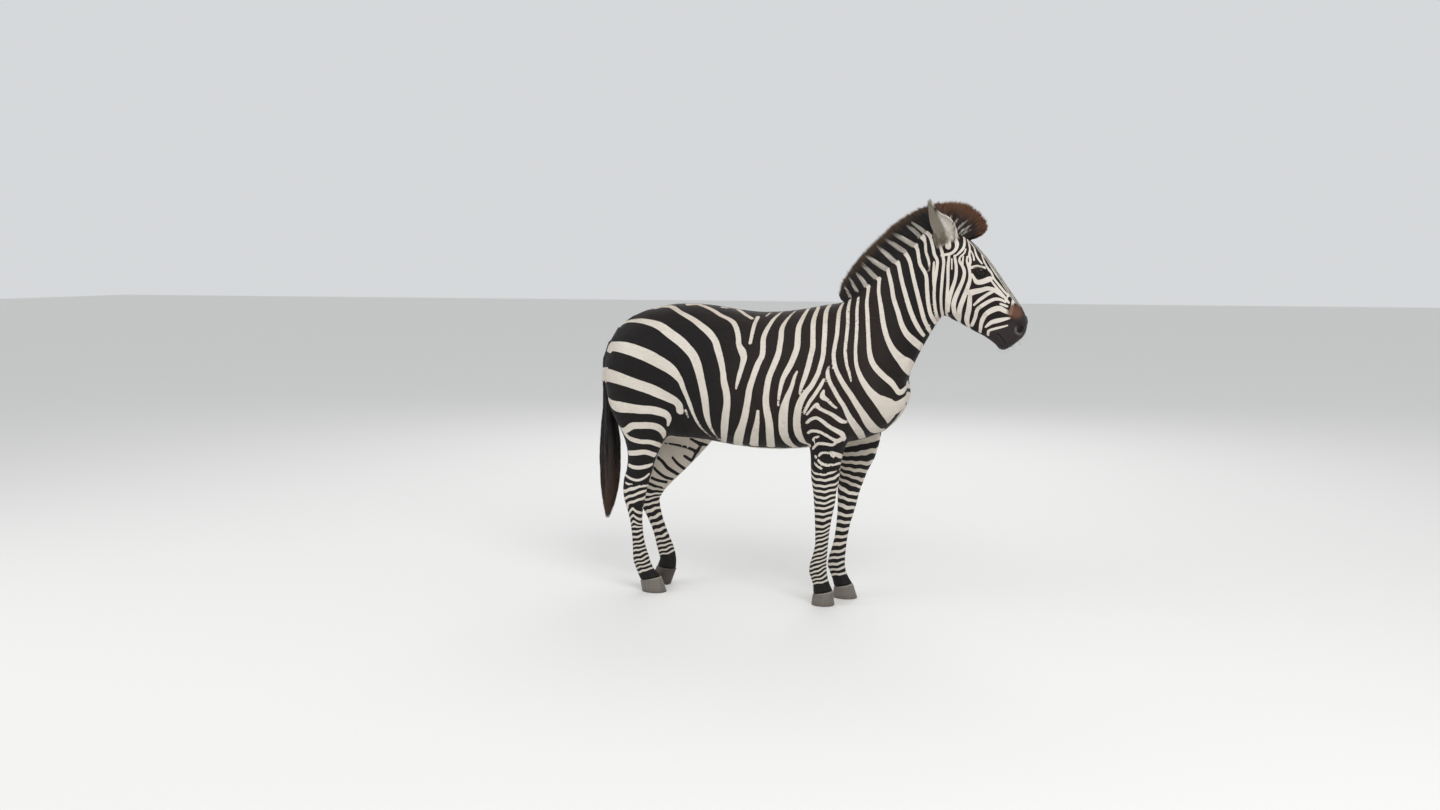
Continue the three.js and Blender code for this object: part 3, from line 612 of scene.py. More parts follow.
def sculpt_body(points):
    rise = np.zeros(len(points))
    for centre, radii, height in both_sides(BODY_FORMS):
        rise += height * bell(points, centre, radii)
    ribs = bell(points, (-0.06, 0, 0.93), (0.17, 1.0, 0.17)) * ramp(np.abs(points[:, 1]), 0.12, 0.2)
    rise += 0.0012 * ribs * np.sin((points[:, 0] + 0.25 * points[:, 2]) * 2 * math.pi / 0.046)
    for y in (-1, 1):
        groove = [(0.575, 0.052 * y, 1.215), (0.50, 0.066 * y, 1.13), (0.43, 0.085 * y, 1.04)]
        rise -= 0.005 * np.exp(-(near_line(points, groove, 0.022) / 0.018) ** 2)
    return rise


def sculpt_head(points, lips):
    rise = np.zeros(len(points))
    for side in (-1, 1):
        for (s, h, y), radius, height in HEAD_FORMS:
            rise += height * bell(points, head_spot(s, h, side * y), (radius,) * 3)
        crest = [head_spot(s, h, side * y) for s, h, y in FACE_CREST]
        rise += 0.0045 * np.exp(-(near_line(points, crest, 0.012) / 0.009) ** 2)
        nostril = head_spot(0.519, -0.012, side * 0.056)
        apart = np.linalg.norm((points - nostril) * np.array([1, 0.8, 1]), axis=1)
        rise += 0.0035 * np.exp(-((apart - 0.023) / 0.007) ** 2)
        path = lips * np.array([1, -side, 1])
        gap = near_line(points, path, 0.02)
        rise += 0.002 * np.exp(-((gap - 0.009) / 0.006) ** 2) - 0.005 * np.exp(-(gap / 0.0035) ** 2)
    front = lips[-1] * np.array([1, 0, 1])
    across = [lips[-1], front + np.array([0.004, 0, 0]), lips[-1] * np.array([1, -1, 1])]
    rise -= 0.004 * np.exp(-(near_line(points, across, 0.02) / 0.0035) ** 2)
    return rise


def sculpt_legs(points):
    """Tendons stand off behind the cannon bones, with a groove between them and the bone."""
    rise = np.zeros(len(points))
    for legs, top, bottom, lean in ((FORE_LEGS, 0.38, 0.17, 0.0), (HIND_LEGS, 0.44, 0.17, 0.05)):
        for x, y in legs.values():
            for flank in (-1, 1):
                middle = (x - 0.010 - lean, y + 0.026 * flank, (top + bottom) / 2)
                rise -= 0.0030 * bell(points, middle, (0.007, 0.022, (top - bottom) * 0.42))
    return rise


def eye_frame(side):
    """Out of the eye, along its opening and up across it."""
    out = unit(np.array([0.22, side, 0.10]))
    long = np.array([math.cos(LID_SLANT), 0, -math.sin(LID_SLANT)])
    long = unit(long - (long @ out) * out)
    return out, long, np.cross(long, out) * side


def shape_lids(points):
    """Draws the lids over each eyeball: an almond opening, a thick rim and a crease above it."""
    for side in (-1, 1):
        eye = EYE_AT * np.array([1, side, 1])
        arm = points - eye
        reach = np.linalg.norm(arm, axis=1)
        out, long, rise = eye_frame(side)
        near = np.nonzero((reach < 0.060) & (arm @ out > -0.004))[0]
        if not len(near):
            continue
        way = arm[near] / reach[near][:, None]
        a = np.degrees(np.arcsin(np.clip(way @ long, -1, 1)))
        b = np.degrees(np.arcsin(np.clip(way @ rise, -1, 1)))
        bow = np.clip(1 - (a / LID_HALF_LENGTH) ** 2, 0, 1) ** 0.75
        margin = np.where(b > 0, UPPER_LID * bow, LOWER_LID * bow)
        gap = (np.abs(b) - margin) + np.clip(np.abs(a) - LID_HALF_LENGTH, 0, None) * 0.8
        gap = gap * math.radians(1) * EYE_RADIUS
        rim = EYE_RADIUS + 0.0026 + 0.05 * np.clip(gap, 0, None)
        target = EYE_RADIUS - 0.004 + (rim - EYE_RADIUS + 0.004) * ramp(gap, -0.0015, 0.0012)
        crease = 0.0016 * np.exp(-((gap - 0.0065) / 0.0016) ** 2) * (b > 0)
        crease += 0.0010 * np.exp(-((gap - 0.0055) / 0.0014) ** 2) * (b < 0)
        blend = np.maximum(ramp(gap, 0.004, 0.020), ramp(reach[near], 0.032, 0.046))
        new = (target - crease) * (1 - blend) + reach[near] * blend
        points[near] = eye + way * new[:, None]
    return points


def make_skin():
    flesh, faces = node_shell(FLESH)
    balls, ball_faces = node_shell(EYES, 0.97)
    solid_tree = BVHTree.FromPolygons(flesh.tolist(), faces.tolist())
    points = np.concatenate([flesh, balls])
    faces = np.concatenate([faces, ball_faces + len(flesh)])
    skin = keep_largest(voxel_skin("skin", points, faces, VOXEL))
    smooth_shell(skin)
    points, normals = read_mesh(skin.data), read_normals(skin.data)
    head, ear, leg, dock = region_weights(points)
    depth = COAT_DEPTH["trunk"] * (1 - head) * (1 - leg) * (1 - dock)
    depth += COAT_DEPTH["head"] * head * (1 - ear) + COAT_DEPTH["leg"] * np.maximum(leg, dock)
    lips = np.array([cast(solid_tree, *spot) for spot in LIP_LINE])
    rise = sculpt_body(points) * (1 - head) + sculpt_head(points, lips) * head
    rise += sculpt_legs(points) - depth
    points = shape_lids(points + normals * rise[:, None])
    write_points(skin.data, points)
    return thin_out(skin, solid_tree)


def thin_out(skin, tree):
    """Fewer triangles, most of them kept on the face and along the edges of the stripes."""
    points = read_mesh(skin.data)
    head, ear, leg, _ = region_weights(points)
    upper_leg = leg * ramp(points[:, 2], 0.34, 0.40)
    snout = ramp(past_poll(points), 0.0, 0.12) * (points[:, 2] > 1.0)
    eye = np.linalg.norm(on_right(points) - EYE_AT * np.array([1, -1, 1]), axis=1)
    round_eye = 1 - ramp(eye, 0.040, 0.050)
    keep = np.maximum.reduce([0.60 * head, 0.70 * snout, 0.90 * ear, 0.40 * leg, round_eye,
                              np.full(len(points), 0.20)])
    body = np.nonzero(keep < 0.95)[0]
    edge = np.abs(stroke_field(warp_left(points[body]), cast_stripes(tree)))
    lines = [cast_stroke(tree, pixels, 0.3) for pixels in DARK_LINES.values()]
    edge = np.minimum(edge, np.abs(stroke_field(on_right(points[body]), lines)))
    near_edge = 1 - ramp(edge, 0.0035 + 0.0025 * head[body], 0.0085)
    finest = np.where(leg[body] > 0.3, 0.8 * upper_leg[body], 0.52)
    finest = np.where(head[body] > 0.5, 1.0, finest)
    keep[body] = np.maximum(keep[body], near_edge * finest)
    set_weights(skin, "keep", 1 - keep, 40)
    total = len(read_triangles(skin.data))
    thin = skin.modifiers.new("thin", "DECIMATE")
    thin.ratio = SKIN_TRIANGLES / total
    thin.vertex_group = "keep"
    thin.vertex_group_factor = 100.0
    thin.use_collapse_triangulate = True
    applied(skin)
    skin.vertex_groups.clear()
    skin.data.polygons.foreach_set("use_smooth", np.ones(len(skin.data.polygons), bool))
    return skin


# ---- Markings ----
CREAM = np.array([0.700, 0.645, 0.575])
BLACK = np.array([0.0085, 0.0075, 0.0078])
BROWN_BLACK = np.array([0.019, 0.0125, 0.0095])
BARREL_BROWN = np.array([0.026, 0.018, 0.0145])
# Grey used as painted shade on the pale inner faces and underside, and as soil on the lower legs.
SHADE_AND_SOIL_GREY = np.array([0.42, 0.375, 0.32])
MUZZLE = np.array([0.030, 0.024, 0.023])
RUST = np.array([0.135, 0.062, 0.037])
# Painted shade on the rear half of the ear.
EAR_SHADE = np.array([0.185, 0.158, 0.120])
# Brown hair at the foot of the ear, darkened further as painted shade.
EAR_FOOT_BROWN_AND_SHADE = np.array([0.090, 0.070, 0.042])
NOSTRIL_RIM = (0.20, 0.18, 0.17)
# Painted shade: a near-black disc for the nostril's opening, which the skin doesn't hollow out.
NOSTRIL_SHADE = (0.004, 0.003, 0.003)
LID_BLACK = (0.010, 0.008, 0.008)
DUSTY_BACK = (0.50, 0.40, 0.30)
RUST_REACH = np.array([0.034, 0.050, 0.034])
RUST_PIXEL = (1016.0, 312.0)       # middle of the rusty patch
NOSTRIL_PIXEL = (1020.5, 329.5)
DUTY = 0.42                        # white share of a leg band
FACE_LINE_COUNT = 4.0
FACE_HALF_WIDTH = ((0.07, 0.018), (0.13, 0.032), (0.20, 0.043), (0.27, 0.043), (0.34, 0.038),
                   (0.40, 0.032), (0.46, 0.025), (0.50, 0.019))


def picture_curve(pixels, pieces=3):
    """A smooth run through given points."""
    spots = np.asarray(pixels, float)
    if len(spots) < 3:
        return spots
    padded = np.vstack([2 * spots[0] - spots[1], spots, 2 * spots[-1] - spots[-2]])
    run = []
    for a, b, c, d in zip(padded[:-3], padded[1:-2], padded[2:-1], padded[3:]):
        for t in np.arange(pieces) / pieces:
            run.append(0.5 * (2 * b + (c - a) * t + (2 * a - 5 * b + 4 * c - d) * t * t
                              + (3 * b - a - 3 * c + d) * t ** 3))
    run.append(spots[-1])
    run = np.array(run)
    run[:, 2] = np.clip(run[:, 2], 1.0, None)
    return run


def snap(tree, spot):
    return np.array(tree.find_nearest(Vector(spot))[0])


# How each kind of stripe is carried on: where the rays that find the skin start, how far from
# the midline its points lie, as shares of the end's distance, and which way it may drift.
CARRY = {
    "back": ((0, 0, 0.5), (0.66, 0.33, 0.05), (1, 0, 0)),
    "rear": ((-0.5, 0, 0), (0.8, 0.6, 0.45), (0, 0, 0)),
    "belly": ((0, 0, -0.3), (0.8, 0.6, 0.4), (1, 0, 0)),
    "front": ((0.12, 0, -0.02), (0.66, 0.33, 0.0), (0, 0, 1)),
    "under": ((0, 0, -0.12), (0.66, 0.33, 0.0), (1, 0, 0)),
}
DRIFT_LIMIT = 0.7


def carry_on(tree, end, before, kind):
    """Points that carry a stripe from the edge of the near side on to the midline."""
    offset, shares, free = CARRY[kind]
    drift = (end - before) / max(abs(end[1] - before[1]), 0.01)
    drift = np.clip(drift, -DRIFT_LIMIT, DRIFT_LIMIT)
    run = []
    for share in shares:
        step = abs(end[1]) * (1 - share)
        target = end * np.array([1, share, 1]) + 0.7 * step * drift * np.array(free)
        start = target + np.array(offset)
        hit = tree.ray_cast(Vector(start), Vector(-np.array(offset)))[0]
        run.append(snap(tree, target) if hit is None else np.array(hit))
    return run


def cast_stroke(tree, pixels, side_limit=0.03):
    """A stroke of the picture as points on the right side of the skin, with widths in metres."""
    spots, widths = [], []
    for across, down, width in picture_curve(pixels):
        spot = cast(tree, across, down, side_limit)
        if spot is None:
            continue
        apart = np.linalg.norm(spot - CAMERA_AT)
        spots.append([spot[0], -abs(spot[1]), spot[2]])
        widths.append(width * apart / FOCAL_PX)
    return np.array(spots), np.array(widths)


def cast_stripes(tree):
    strokes = []
    for kind, pixels in STRIPES.values():
        spots, widths = cast_stroke(tree, pixels)
        if kind in ("back", "rear"):
            end = spots[0] if kind == "back" else spots[0] * [1, 1, 0] + spots[3] * [0, 0, 1]
            extra = carry_on(tree, end, spots[2], kind)
            taper = (widths[0] * np.array([0.95, 0.8, 0.4]) if kind == "back"
                     else widths[3] * np.array([0.95, 0.8, 0.5]))
            spots = np.vstack([extra[::-1], spots])
            widths = np.concatenate([taper[::-1], widths])
        elif kind:
            extra = carry_on(tree, spots[-1], spots[-3], kind)
            taper = widths[-1] * np.array([0.95, 0.8, 0.6])
            spots = np.vstack([spots, extra])
            widths = np.concatenate([widths, taper])
        strokes.append((spots, widths))
    for pixels in MANE_STRIPES.values():
        seen = [spot for spot in picture_curve(pixels) if meets(tree, spot[0], spot[1])]
        if len(seen) > 1:
            strokes.append(cast_stroke(tree, seen))
    return strokes


def meets(tree, across, down):
    return tree.ray_cast(Vector(CAMERA_AT), Vector(sight(across, down)))[0] is not None


def warp_left(points):
    """The left side carries the same pattern, pushed about a little so that it is no mirror."""
    left = points.copy()
    away = ramp(points[:, 1], 0.03, 0.12)
    head = ramp(past_poll(points), -0.08, 0.08)
    reach = (0.016 * (1 - head) + 0.003 * head) * away
    left[:, 0] += reach * np.sin(points[:, 2] * 11 + points[:, 0] * 5 + 1.0)
    left[:, 2] += reach * np.sin(points[:, 0] * 13 - points[:, 2] * 4 + 0.4)
    flip = points[:, 1] > 0
    out = points.copy()
    out[flip] = left[flip]
    out[:, 1] = -np.abs(points[:, 1])
    return out


def stroke_field(points, strokes):
    """How far inside the nearest stroke each point lies; negative outside."""
    field = np.full(len(points), -9.0)
    for spots, widths in strokes:
        low, high = spots.min(0) - 0.06, spots.max(0) + 0.06
        near = np.nonzero(np.all((points > low) & (points < high), axis=1))[0]
        if len(near):
            inside = -line_distance(points[near], spots, widths)
            field[near] = np.maximum(field[near], inside)
    return np.maximum(field, -0.04)


def row_height(across, down, y):
    line = sight(across, down)
    return CAMERA_AT[2] + line[2] * (y - CAMERA_AT[1]) / line[1]


def leg_axis(points, name):
    """Where the middle of a leg runs, from its foot to its top, as (height, x)."""
    x, side = LEG_AT[name]
    mine = (points[:, 1] * side > 0.004) & (points[:, 2] < 0.80)
    mine &= (np.abs(points[:, 0] - x) < 0.30)
    heights = np.arange(0.05, 0.64, 0.02)
    middles = []
    for height in heights:
        slab = mine & (np.abs(points[:, 2] - height) < 0.012)
        middles.append(points[slab, 0].mean() if slab.any() else np.nan)
    middles = np.array(middles)
    good = ~np.isnan(middles)
    return heights[good], middles[good]


def face_lines(points):
    """Thin lines down the front of the face, and where they hold."""
    arm = points - POLL
    s, h = arm @ ALONG_FACE, arm @ ABOVE_FACE
    stations, halves = np.array(FACE_HALF_WIDTH).T
    half = np.interp(s, stations, halves)
    share = np.abs(points[:, 1]) / half
    wave = np.cos(2 * math.pi * FACE_LINE_COUNT * share + 0.3 * np.sin(s * 40))
    field = (wave - 0.12) * half / (2 * math.pi * FACE_LINE_COUNT)
    hold = (1 - ramp(share, 1.00, 1.18)) * ramp(s, 0.075, 0.10) * (1 - ramp(s, 0.46, 0.49))
    hold *= ramp(h, -0.045, -0.030)
    return field, hold


def pale_under(points, normals):
    """Inside of the thighs and arms, groin and the middle of the belly; positive where pale."""
    side = np.sign(points[:, 1])
    inward = -normals[:, 1] * side
    hind = (1 - ramp(points[:, 0], -0.34, -0.24)) * ramp(points[:, 2], 0.40, 0.44)
    hind *= 1 - ramp(points[:, 2], 0.80, 0.86)
    fore = ramp(points[:, 0], -0.02, 0.05) * ramp(points[:, 2], 0.46, 0.52)
    fore *= 1 - ramp(points[:, 2], 0.72, 0.78)
    far = (points[:, 1] > 0) & (points[:, 0] < -0.2)
    inward = np.where(far, inward + 0.3 * normals[:, 0], inward)
    leg = (inward - 0.15) * 0.05 * np.maximum(hind, fore * 0.9) - 0.02 * (1 - np.maximum(hind, fore))
    below = (-normals[:, 2] - 0.95) * 0.12
    below[(points[:, 2] > 0.86) | (points[:, 2] < 0.5) | (points[:, 0] > 0.2)] = -0.05
    return np.maximum(leg, below)


class Coat:
    """Markings at any point on or near the skin, the same for the skin and its tufts."""

    def __init__(self, skin):
        points, faces = read_mesh(skin.data), read_triangles(skin.data)
        self.tree = BVHTree.FromPolygons(points.tolist(), faces.tolist())
        self.strokes = cast_stripes(self.tree)
        self.dark = [cast_stroke(self.tree, pixels, 0.3) for pixels in DARK_LINES.values()]
        self.bands = {}
        for name, (across, y, rows, slopes) in LEG_BANDS.items():
            heights = np.array([row_height(across, row, y) for row in rows])[::-1]
            rows_up = np.array([row_height(across, row, y) for row, _ in slopes])[::-1]
            rises = np.array([rise for _, rise in slopes])[::-1]
            limit = -9.0
            if name in BAND_LIMIT:
                limit = row_height(*BAND_LIMIT[name])
            self.bands[name] = (heights, rows_up, rises, leg_axis(points, name), limit)
        self.rust = cast(self.tree, *RUST_PIXEL)
        self.nostril = cast(self.tree, *NOSTRIL_PIXEL)

    def leg(self, points, normals):
        """Phase and pitch of the leg bands, and where they take over from the strokes."""
        phase, pitch = np.zeros(len(points)), np.full(len(points), 0.02)
        take = np.zeros(len(points))
        for name, (heights, rows_up, rises, axis, limit) in self.bands.items():
            x, side = LEG_AT[name]
            top = heights[-1] + 0.010
            mine = (points[:, 1] * side > 0) & (points[:, 2] < top + 0.05)
            mine &= np.abs(points[:, 0] - x) < 0.34
            chosen = np.nonzero(mine)[0]
            z = points[chosen, 2]
            ahead = points[chosen, 0] - np.interp(z, *axis)
            rise = np.interp(z, rows_up, rises)
            level = z - rise * ahead
            if name == "fore_right":
                level -= 4.5 * ahead ** 2 * ramp(z, 0.27, 0.36)
            if name == "hind_right":
                fold = ramp(z, HOCK_FOLD[0] - 0.012, HOCK_FOLD[0] + 0.012)
                fold *= 1 - ramp(z, HOCK_FOLD[1] - 0.012, HOCK_FOLD[1] + 0.012)
                level += 0.9 * np.abs(ahead) * fold
            level += 0.0018 * np.sin(points[chosen, 1] * 120 + z * 70) + 0.0015 * np.sin(ahead * 150)
            gaps = np.diff(heights)
            foot = heights[0] - 0.5 * gaps[0]
            ends = np.concatenate([[foot], heights, [heights[-1] + gaps[-1]]])
            counts = np.concatenate([[-0.5], np.arange(len(heights)), [len(heights)]])
            phase[chosen] = np.interp(level, ends, counts)
            pitch[chosen] = np.interp(level, heights, np.concatenate([gaps[:1], gaps]))
            hold = 1 - ramp(level, top - 0.004, top + 0.004)
            if limit > 0:
                outward = normals[chosen] @ np.array([-0.3 * side, side * 0.95, 0.0])
                away = ramp(outward, -0.10, 0.10) if side > 0 else 1 - ramp(outward, -0.05, 0.20)
                hold *= np.where(z > limit + rise * ahead, away, 1.0)
            take[chosen] = hold
        return phase, pitch, take

    def fields(self, points, normals):
        mirrored = warp_left(points)
        field = stroke_field(mirrored, self.strokes)
        face, hold = face_lines(points)
        field = face * hold + field * (1 - hold)
        field = np.maximum(field, np.clip(pale_under(points, normals), -0.04, 0.03))
        field = np.minimum(field, -stroke_field(on_right(points), self.dark))
        field = np.minimum(field, 1.0)
        spine = (points[:, 2] > 1.15) & (points[:, 0] < 0.2)
        middle = np.abs(points[:, 1]) - 0.011
        field = np.where(spine, np.minimum(field, middle), field)
        belly = (points[:, 2] < 0.86) & (points[:, 0] > -0.35) & (points[:, 0] < 0.1)
        field = np.where(belly & (np.abs(points[:, 1]) < 0.05), np.minimum(field, middle + 0.003), field)
        phase, pitch, take = self.leg(points, normals)
        pale, dark = self.colours(points, normals)
        return {"field": field, "phase": phase, "pitch": pitch, "take": take, "pale": pale, "dark": dark}

    def colours(self, points, normals):
        """What white and black mean at each point."""
        count = len(points)
        pale, dark = np.tile(CREAM, (count, 1)), np.tile(BLACK, (count, 1))

        def blend(array, colour, share):
            array += (np.asarray(colour) - array) * share[:, None]

        def blend_both(colour, share):
            blend(pale, colour, share)
            blend(dark, colour, share)

        z = points[:, 2]
        # Painted shade: the pale inner faces of thighs and arms and the underside of the belly are greyed.
        inside = np.clip(pale_under(points, normals) / 0.02, 0, 1)
        blend(pale, SHADE_AND_SOIL_GREY, 0.75 * inside)
        # Soil greys the white of the lower legs.
        blend(pale, SHADE_AND_SOIL_GREY, 0.35 * (1 - ramp(z, 0.10, 0.60)))
        top = ramp(normals[:, 2], 0.45, 0.95) * ramp(z, 1.1, 1.25)
        blend(pale, DUSTY_BACK, 0.45 * top)
        blend(dark, BROWN_BLACK, 0.5 * top + 0.25 * ramp(past_poll(points), -0.1, 0.1))
        barrel = ramp(points[:, 0], -0.40, -0.10) * (1 - ramp(points[:, 0], 0.35, 0.50))
        barrel = barrel * ramp(z, 0.70, 0.85)
        blend(dark, BARREL_BROWN, 0.6 * barrel)
        arm = points - POLL
        s, h = arm @ ALONG_FACE, arm @ ABOVE_FACE
        right = on_right(points)
        lean = 0.25 * np.clip(h + 0.02, -0.2, 0.05)
        head = past_poll(points) > 0.1
        blend(pale, MUZZLE, ramp(s, 0.500, 0.525) * head)
        blend(dark, MUZZLE, ramp(s, 0.472 + lean, 0.500 + lean) * head)
        gap = np.linalg.norm((right - self.rust) / RUST_REACH, axis=1)
        rust = (1 - ramp(gap, 0.50, 1.10)) * (1 - 0.4 * ramp(self.rust[2] - z, 0.01, 0.05))
        blend(pale, RUST * 1.08, (1 - ramp(gap, 0.80, 1.25)) * head)
        blend(dark, RUST, rust * head * 0.94)
        hole = np.linalg.norm(right - self.nostril, axis=1)
        lower = (self.nostril - right) @ np.array([0.72, 0, 0.70]) / np.maximum(hole, 0.001)
        rim = np.exp(-((hole - 0.020) / 0.0040) ** 2) * ramp(lower, 0.05, 0.65) * head
        blend_both(NOSTRIL_RIM, 0.7 * rim)
        # Painted shade for the nostril's opening.
        blend_both(NOSTRIL_SHADE, (1 - ramp(hole, 0.012, 0.017)) * head)
        gap = right - EYE_AT * np.array([1, -1, 1])
        long = gap @ np.array([math.cos(LID_SLANT), 0, -math.sin(LID_SLANT)])
        cross = gap @ np.array([math.sin(LID_SLANT), 0, math.cos(LID_SLANT)])
        lid = 1 - ramp(np.hypot(long / 0.0310, cross / 0.0175), 0.90, 1.08)
        lid *= np.linalg.norm(gap, axis=1) < 0.045
        blend_both(LID_BLACK, lid)
        ear, t, front = ear_place(points)
        rear = 1 - ramp(front, -0.004, 0.006)
        blend(pale, CREAM, ear)
        blend(dark, CREAM * 0.95, ear)
        # Painted shade over the rear half of the ear.
        blend_both(EAR_SHADE, ear * rear * 0.9)
        # Brown hair and painted shade at the foot of the ear.
        foot = ear * (1 - ramp(t, 0.14, 0.40)) * (1 - ramp(front, 0.000, 0.018))
        blend_both(EAR_FOOT_BROWN_AND_SHADE, 0.75 * foot)
        band = ear * np.exp(-((t - 0.82) / 0.07) ** 2) * ramp(front, -0.006, 0.002)
        blend_both(BROWN_BLACK, band)
        return pale, dark


HOCK_FOLD = tuple(row_height(HOCK_COLUMN, row, NEAR_LEGS_Y) for row in HOCK_FOLD_ROWS)


def write_fields(mesh, fields):
    for name, values in fields.items():
        values = np.asarray(values, np.float32)
        if values.ndim == 2:
            layer = mesh.attributes.new(name, "FLOAT_COLOR", "POINT")
            full = np.ones((len(values), 4), np.float32)
            full[:, :3] = values
            layer.data.foreach_set("color", full.ravel())
        else:
            layer = mesh.attributes.new(name, "FLOAT", "POINT")
            layer.data.foreach_set("value", values)


skin = make_skin()
coat = Coat(skin)
write_fields(skin.data, coat.fields(read_mesh(skin.data), read_normals(skin.data)))


# ---- Materials ----
class Nodes:
    """Short ways to add nodes to one material."""

    def __init__(self, name, roughness=0.6):
        self.material = bpy.data.materials.new(name)
        self.material.use_nodes = True
        self.tree = self.material.node_tree
        self.shader = self.tree.nodes["Principled BSDF"]
        self.shader.inputs["Roughness"].default_value = roughness

    def add(self, kind, links=(), **settings):
        node = self.tree.nodes.new(kind)
        for key, value in settings.items():
            setattr(node, key, value)
        for socket, value in dict(links).items():
            self.put(node.inputs[socket], value)
        return node

    def put(self, socket, value):
        if isinstance(value, bpy.types.NodeSocket):
            self.tree.links.new(value, socket)
        elif isinstance(value, (tuple, list, np.ndarray)) and socket.type == "RGBA":
            socket.default_value = (*[float(v) for v in value[:3]], 1.0)
        else:
            socket.default_value = value

    def attribute(self, name, colour=False):
        node = self.add("ShaderNodeAttribute", attribute_name=name)
        return node.outputs["Color" if colour else "Fac"]

    def math(self, operation, a, b=0.0):
        node = self.add("ShaderNodeMath", operation=operation)
        self.put(node.inputs[0], a)
        self.put(node.inputs[1], b)
        return node.outputs[0]

    def mix(self, share, a, b):
        node = self.add("ShaderNodeMix", data_type="RGBA")
        self.put(node.inputs[0], share)
        self.put(node.inputs[6], a)
        self.put(node.inputs[7], b)
        return node.outputs[2]

    def spread(self, value, low, high, to_low=0.0, to_high=1.0):
        node = self.add("ShaderNodeMapRange", {"Value": value, "From Min": low, "From Max": high,
                                               "To Min": to_low, "To Max": to_high})
        return node.outputs[0]

    def noise(self, scale, stretch=(1, 1, 1), detail=2.0):
        place = self.add("ShaderNodeTexCoord").outputs["Object"]
        mapping = self.add("ShaderNodeMapping", {"Vector": place, "Scale": stretch})
        return self.add("ShaderNodeTexNoise", {"Vector": mapping.outputs[0], "Scale": scale,
                                               "Detail": detail}).outputs["Fac"]

    def bump(self, height, strength, distance):
        node = self.add("ShaderNodeBump", {"Height": height, "Strength": strength, "Distance": distance})
        self.tree.links.new(node.outputs[0], self.shader.inputs["Normal"])

    def colour(self, value):
        self.put(self.shader.inputs["Base Color"], value)


def coat_material():
    """Short hair: stripes from the stored fields, with edges that hair makes ragged."""
    n = Nodes("short_coat", 0.62)
    ragged = n.math("SUBTRACT", n.noise(420, (0.45, 1, 1), 3), 0.5)
    wave = n.math("SUBTRACT", n.noise(42, (1, 1, 1), 2), 0.5)
    phase = n.attribute("phase")
    off = n.math("ABSOLUTE", n.math("SUBTRACT", phase, n.math("ROUND", phase)))
    band = n.math("MULTIPLY", n.math("SUBTRACT", DUTY / 2, off), n.attribute("pitch"))
    take = n.attribute("take")
    stripes = n.math("MULTIPLY", n.attribute("field"), n.math("SUBTRACT", 1.0, take))
    field = n.math("ADD", stripes, n.math("MULTIPLY", band, take))
    field = n.math("ADD", field, n.math("MULTIPLY", ragged, 0.0016))
    field = n.math("ADD", field, n.math("MULTIPLY", wave, 0.0014))
    white = n.spread(field, -0.0006, 0.0006)
    streaks = n.noise(260, (0.25, 1, 1), 3)
    blotch = n.noise(9, (1, 1, 1), 4)
    pale = n.mix(n.spread(streaks, 0.35, 0.75, 0.0, 0.22), n.attribute("pale", True),
                 (0.46, 0.39, 0.31))
    pale = n.mix(n.spread(blotch, 0.42, 0.72, 0.0, 0.25), pale, (0.56, 0.48, 0.38))
    dark = n.mix(n.spread(streaks, 0.35, 0.8, 0.0, 0.35), n.attribute("dark", True), (0.026, 0.019, 0.015))
    n.colour(n.mix(white, dark, pale))
    fine, coarse = n.noise(620, (0.22, 1, 0.8), 2), n.noise(150, (0.35, 1, 0.9), 2)
    n.bump(n.math("ADD", fine, n.math("MULTIPLY", coarse, 0.6)), 0.35, 0.0016)
    n.shader.inputs["Sheen Weight"].default_value = 0.012
    n.shader.inputs["Sheen Roughness"].default_value = 0.45
    n.shader.inputs["Specular IOR Level"].default_value = 0.16
    return n.material


COAT = coat_material()
skin.data.materials.clear()
skin.data.materials.append(COAT)


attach(skin, "root")
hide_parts(*FLESH)


# ---- An unwrap of the skin, which the hair's own UV maps follow ----
PATCH = 0.003                      # size of a tuft's patch on the unwrap


def unwrap(skin):
    bpy.context.view_layer.objects.active = skin
    skin.select_set(True)
    skin.data.uv_layers.new(name="OFBake")
    bpy.ops.object.mode_set(mode="EDIT")
    bpy.ops.mesh.select_all(action="SELECT")
    bpy.ops.uv.smart_project(angle_limit=math.radians(66), island_margin=0.002)
    bpy.ops.object.mode_set(mode="OBJECT")
    skin.select_set(False)


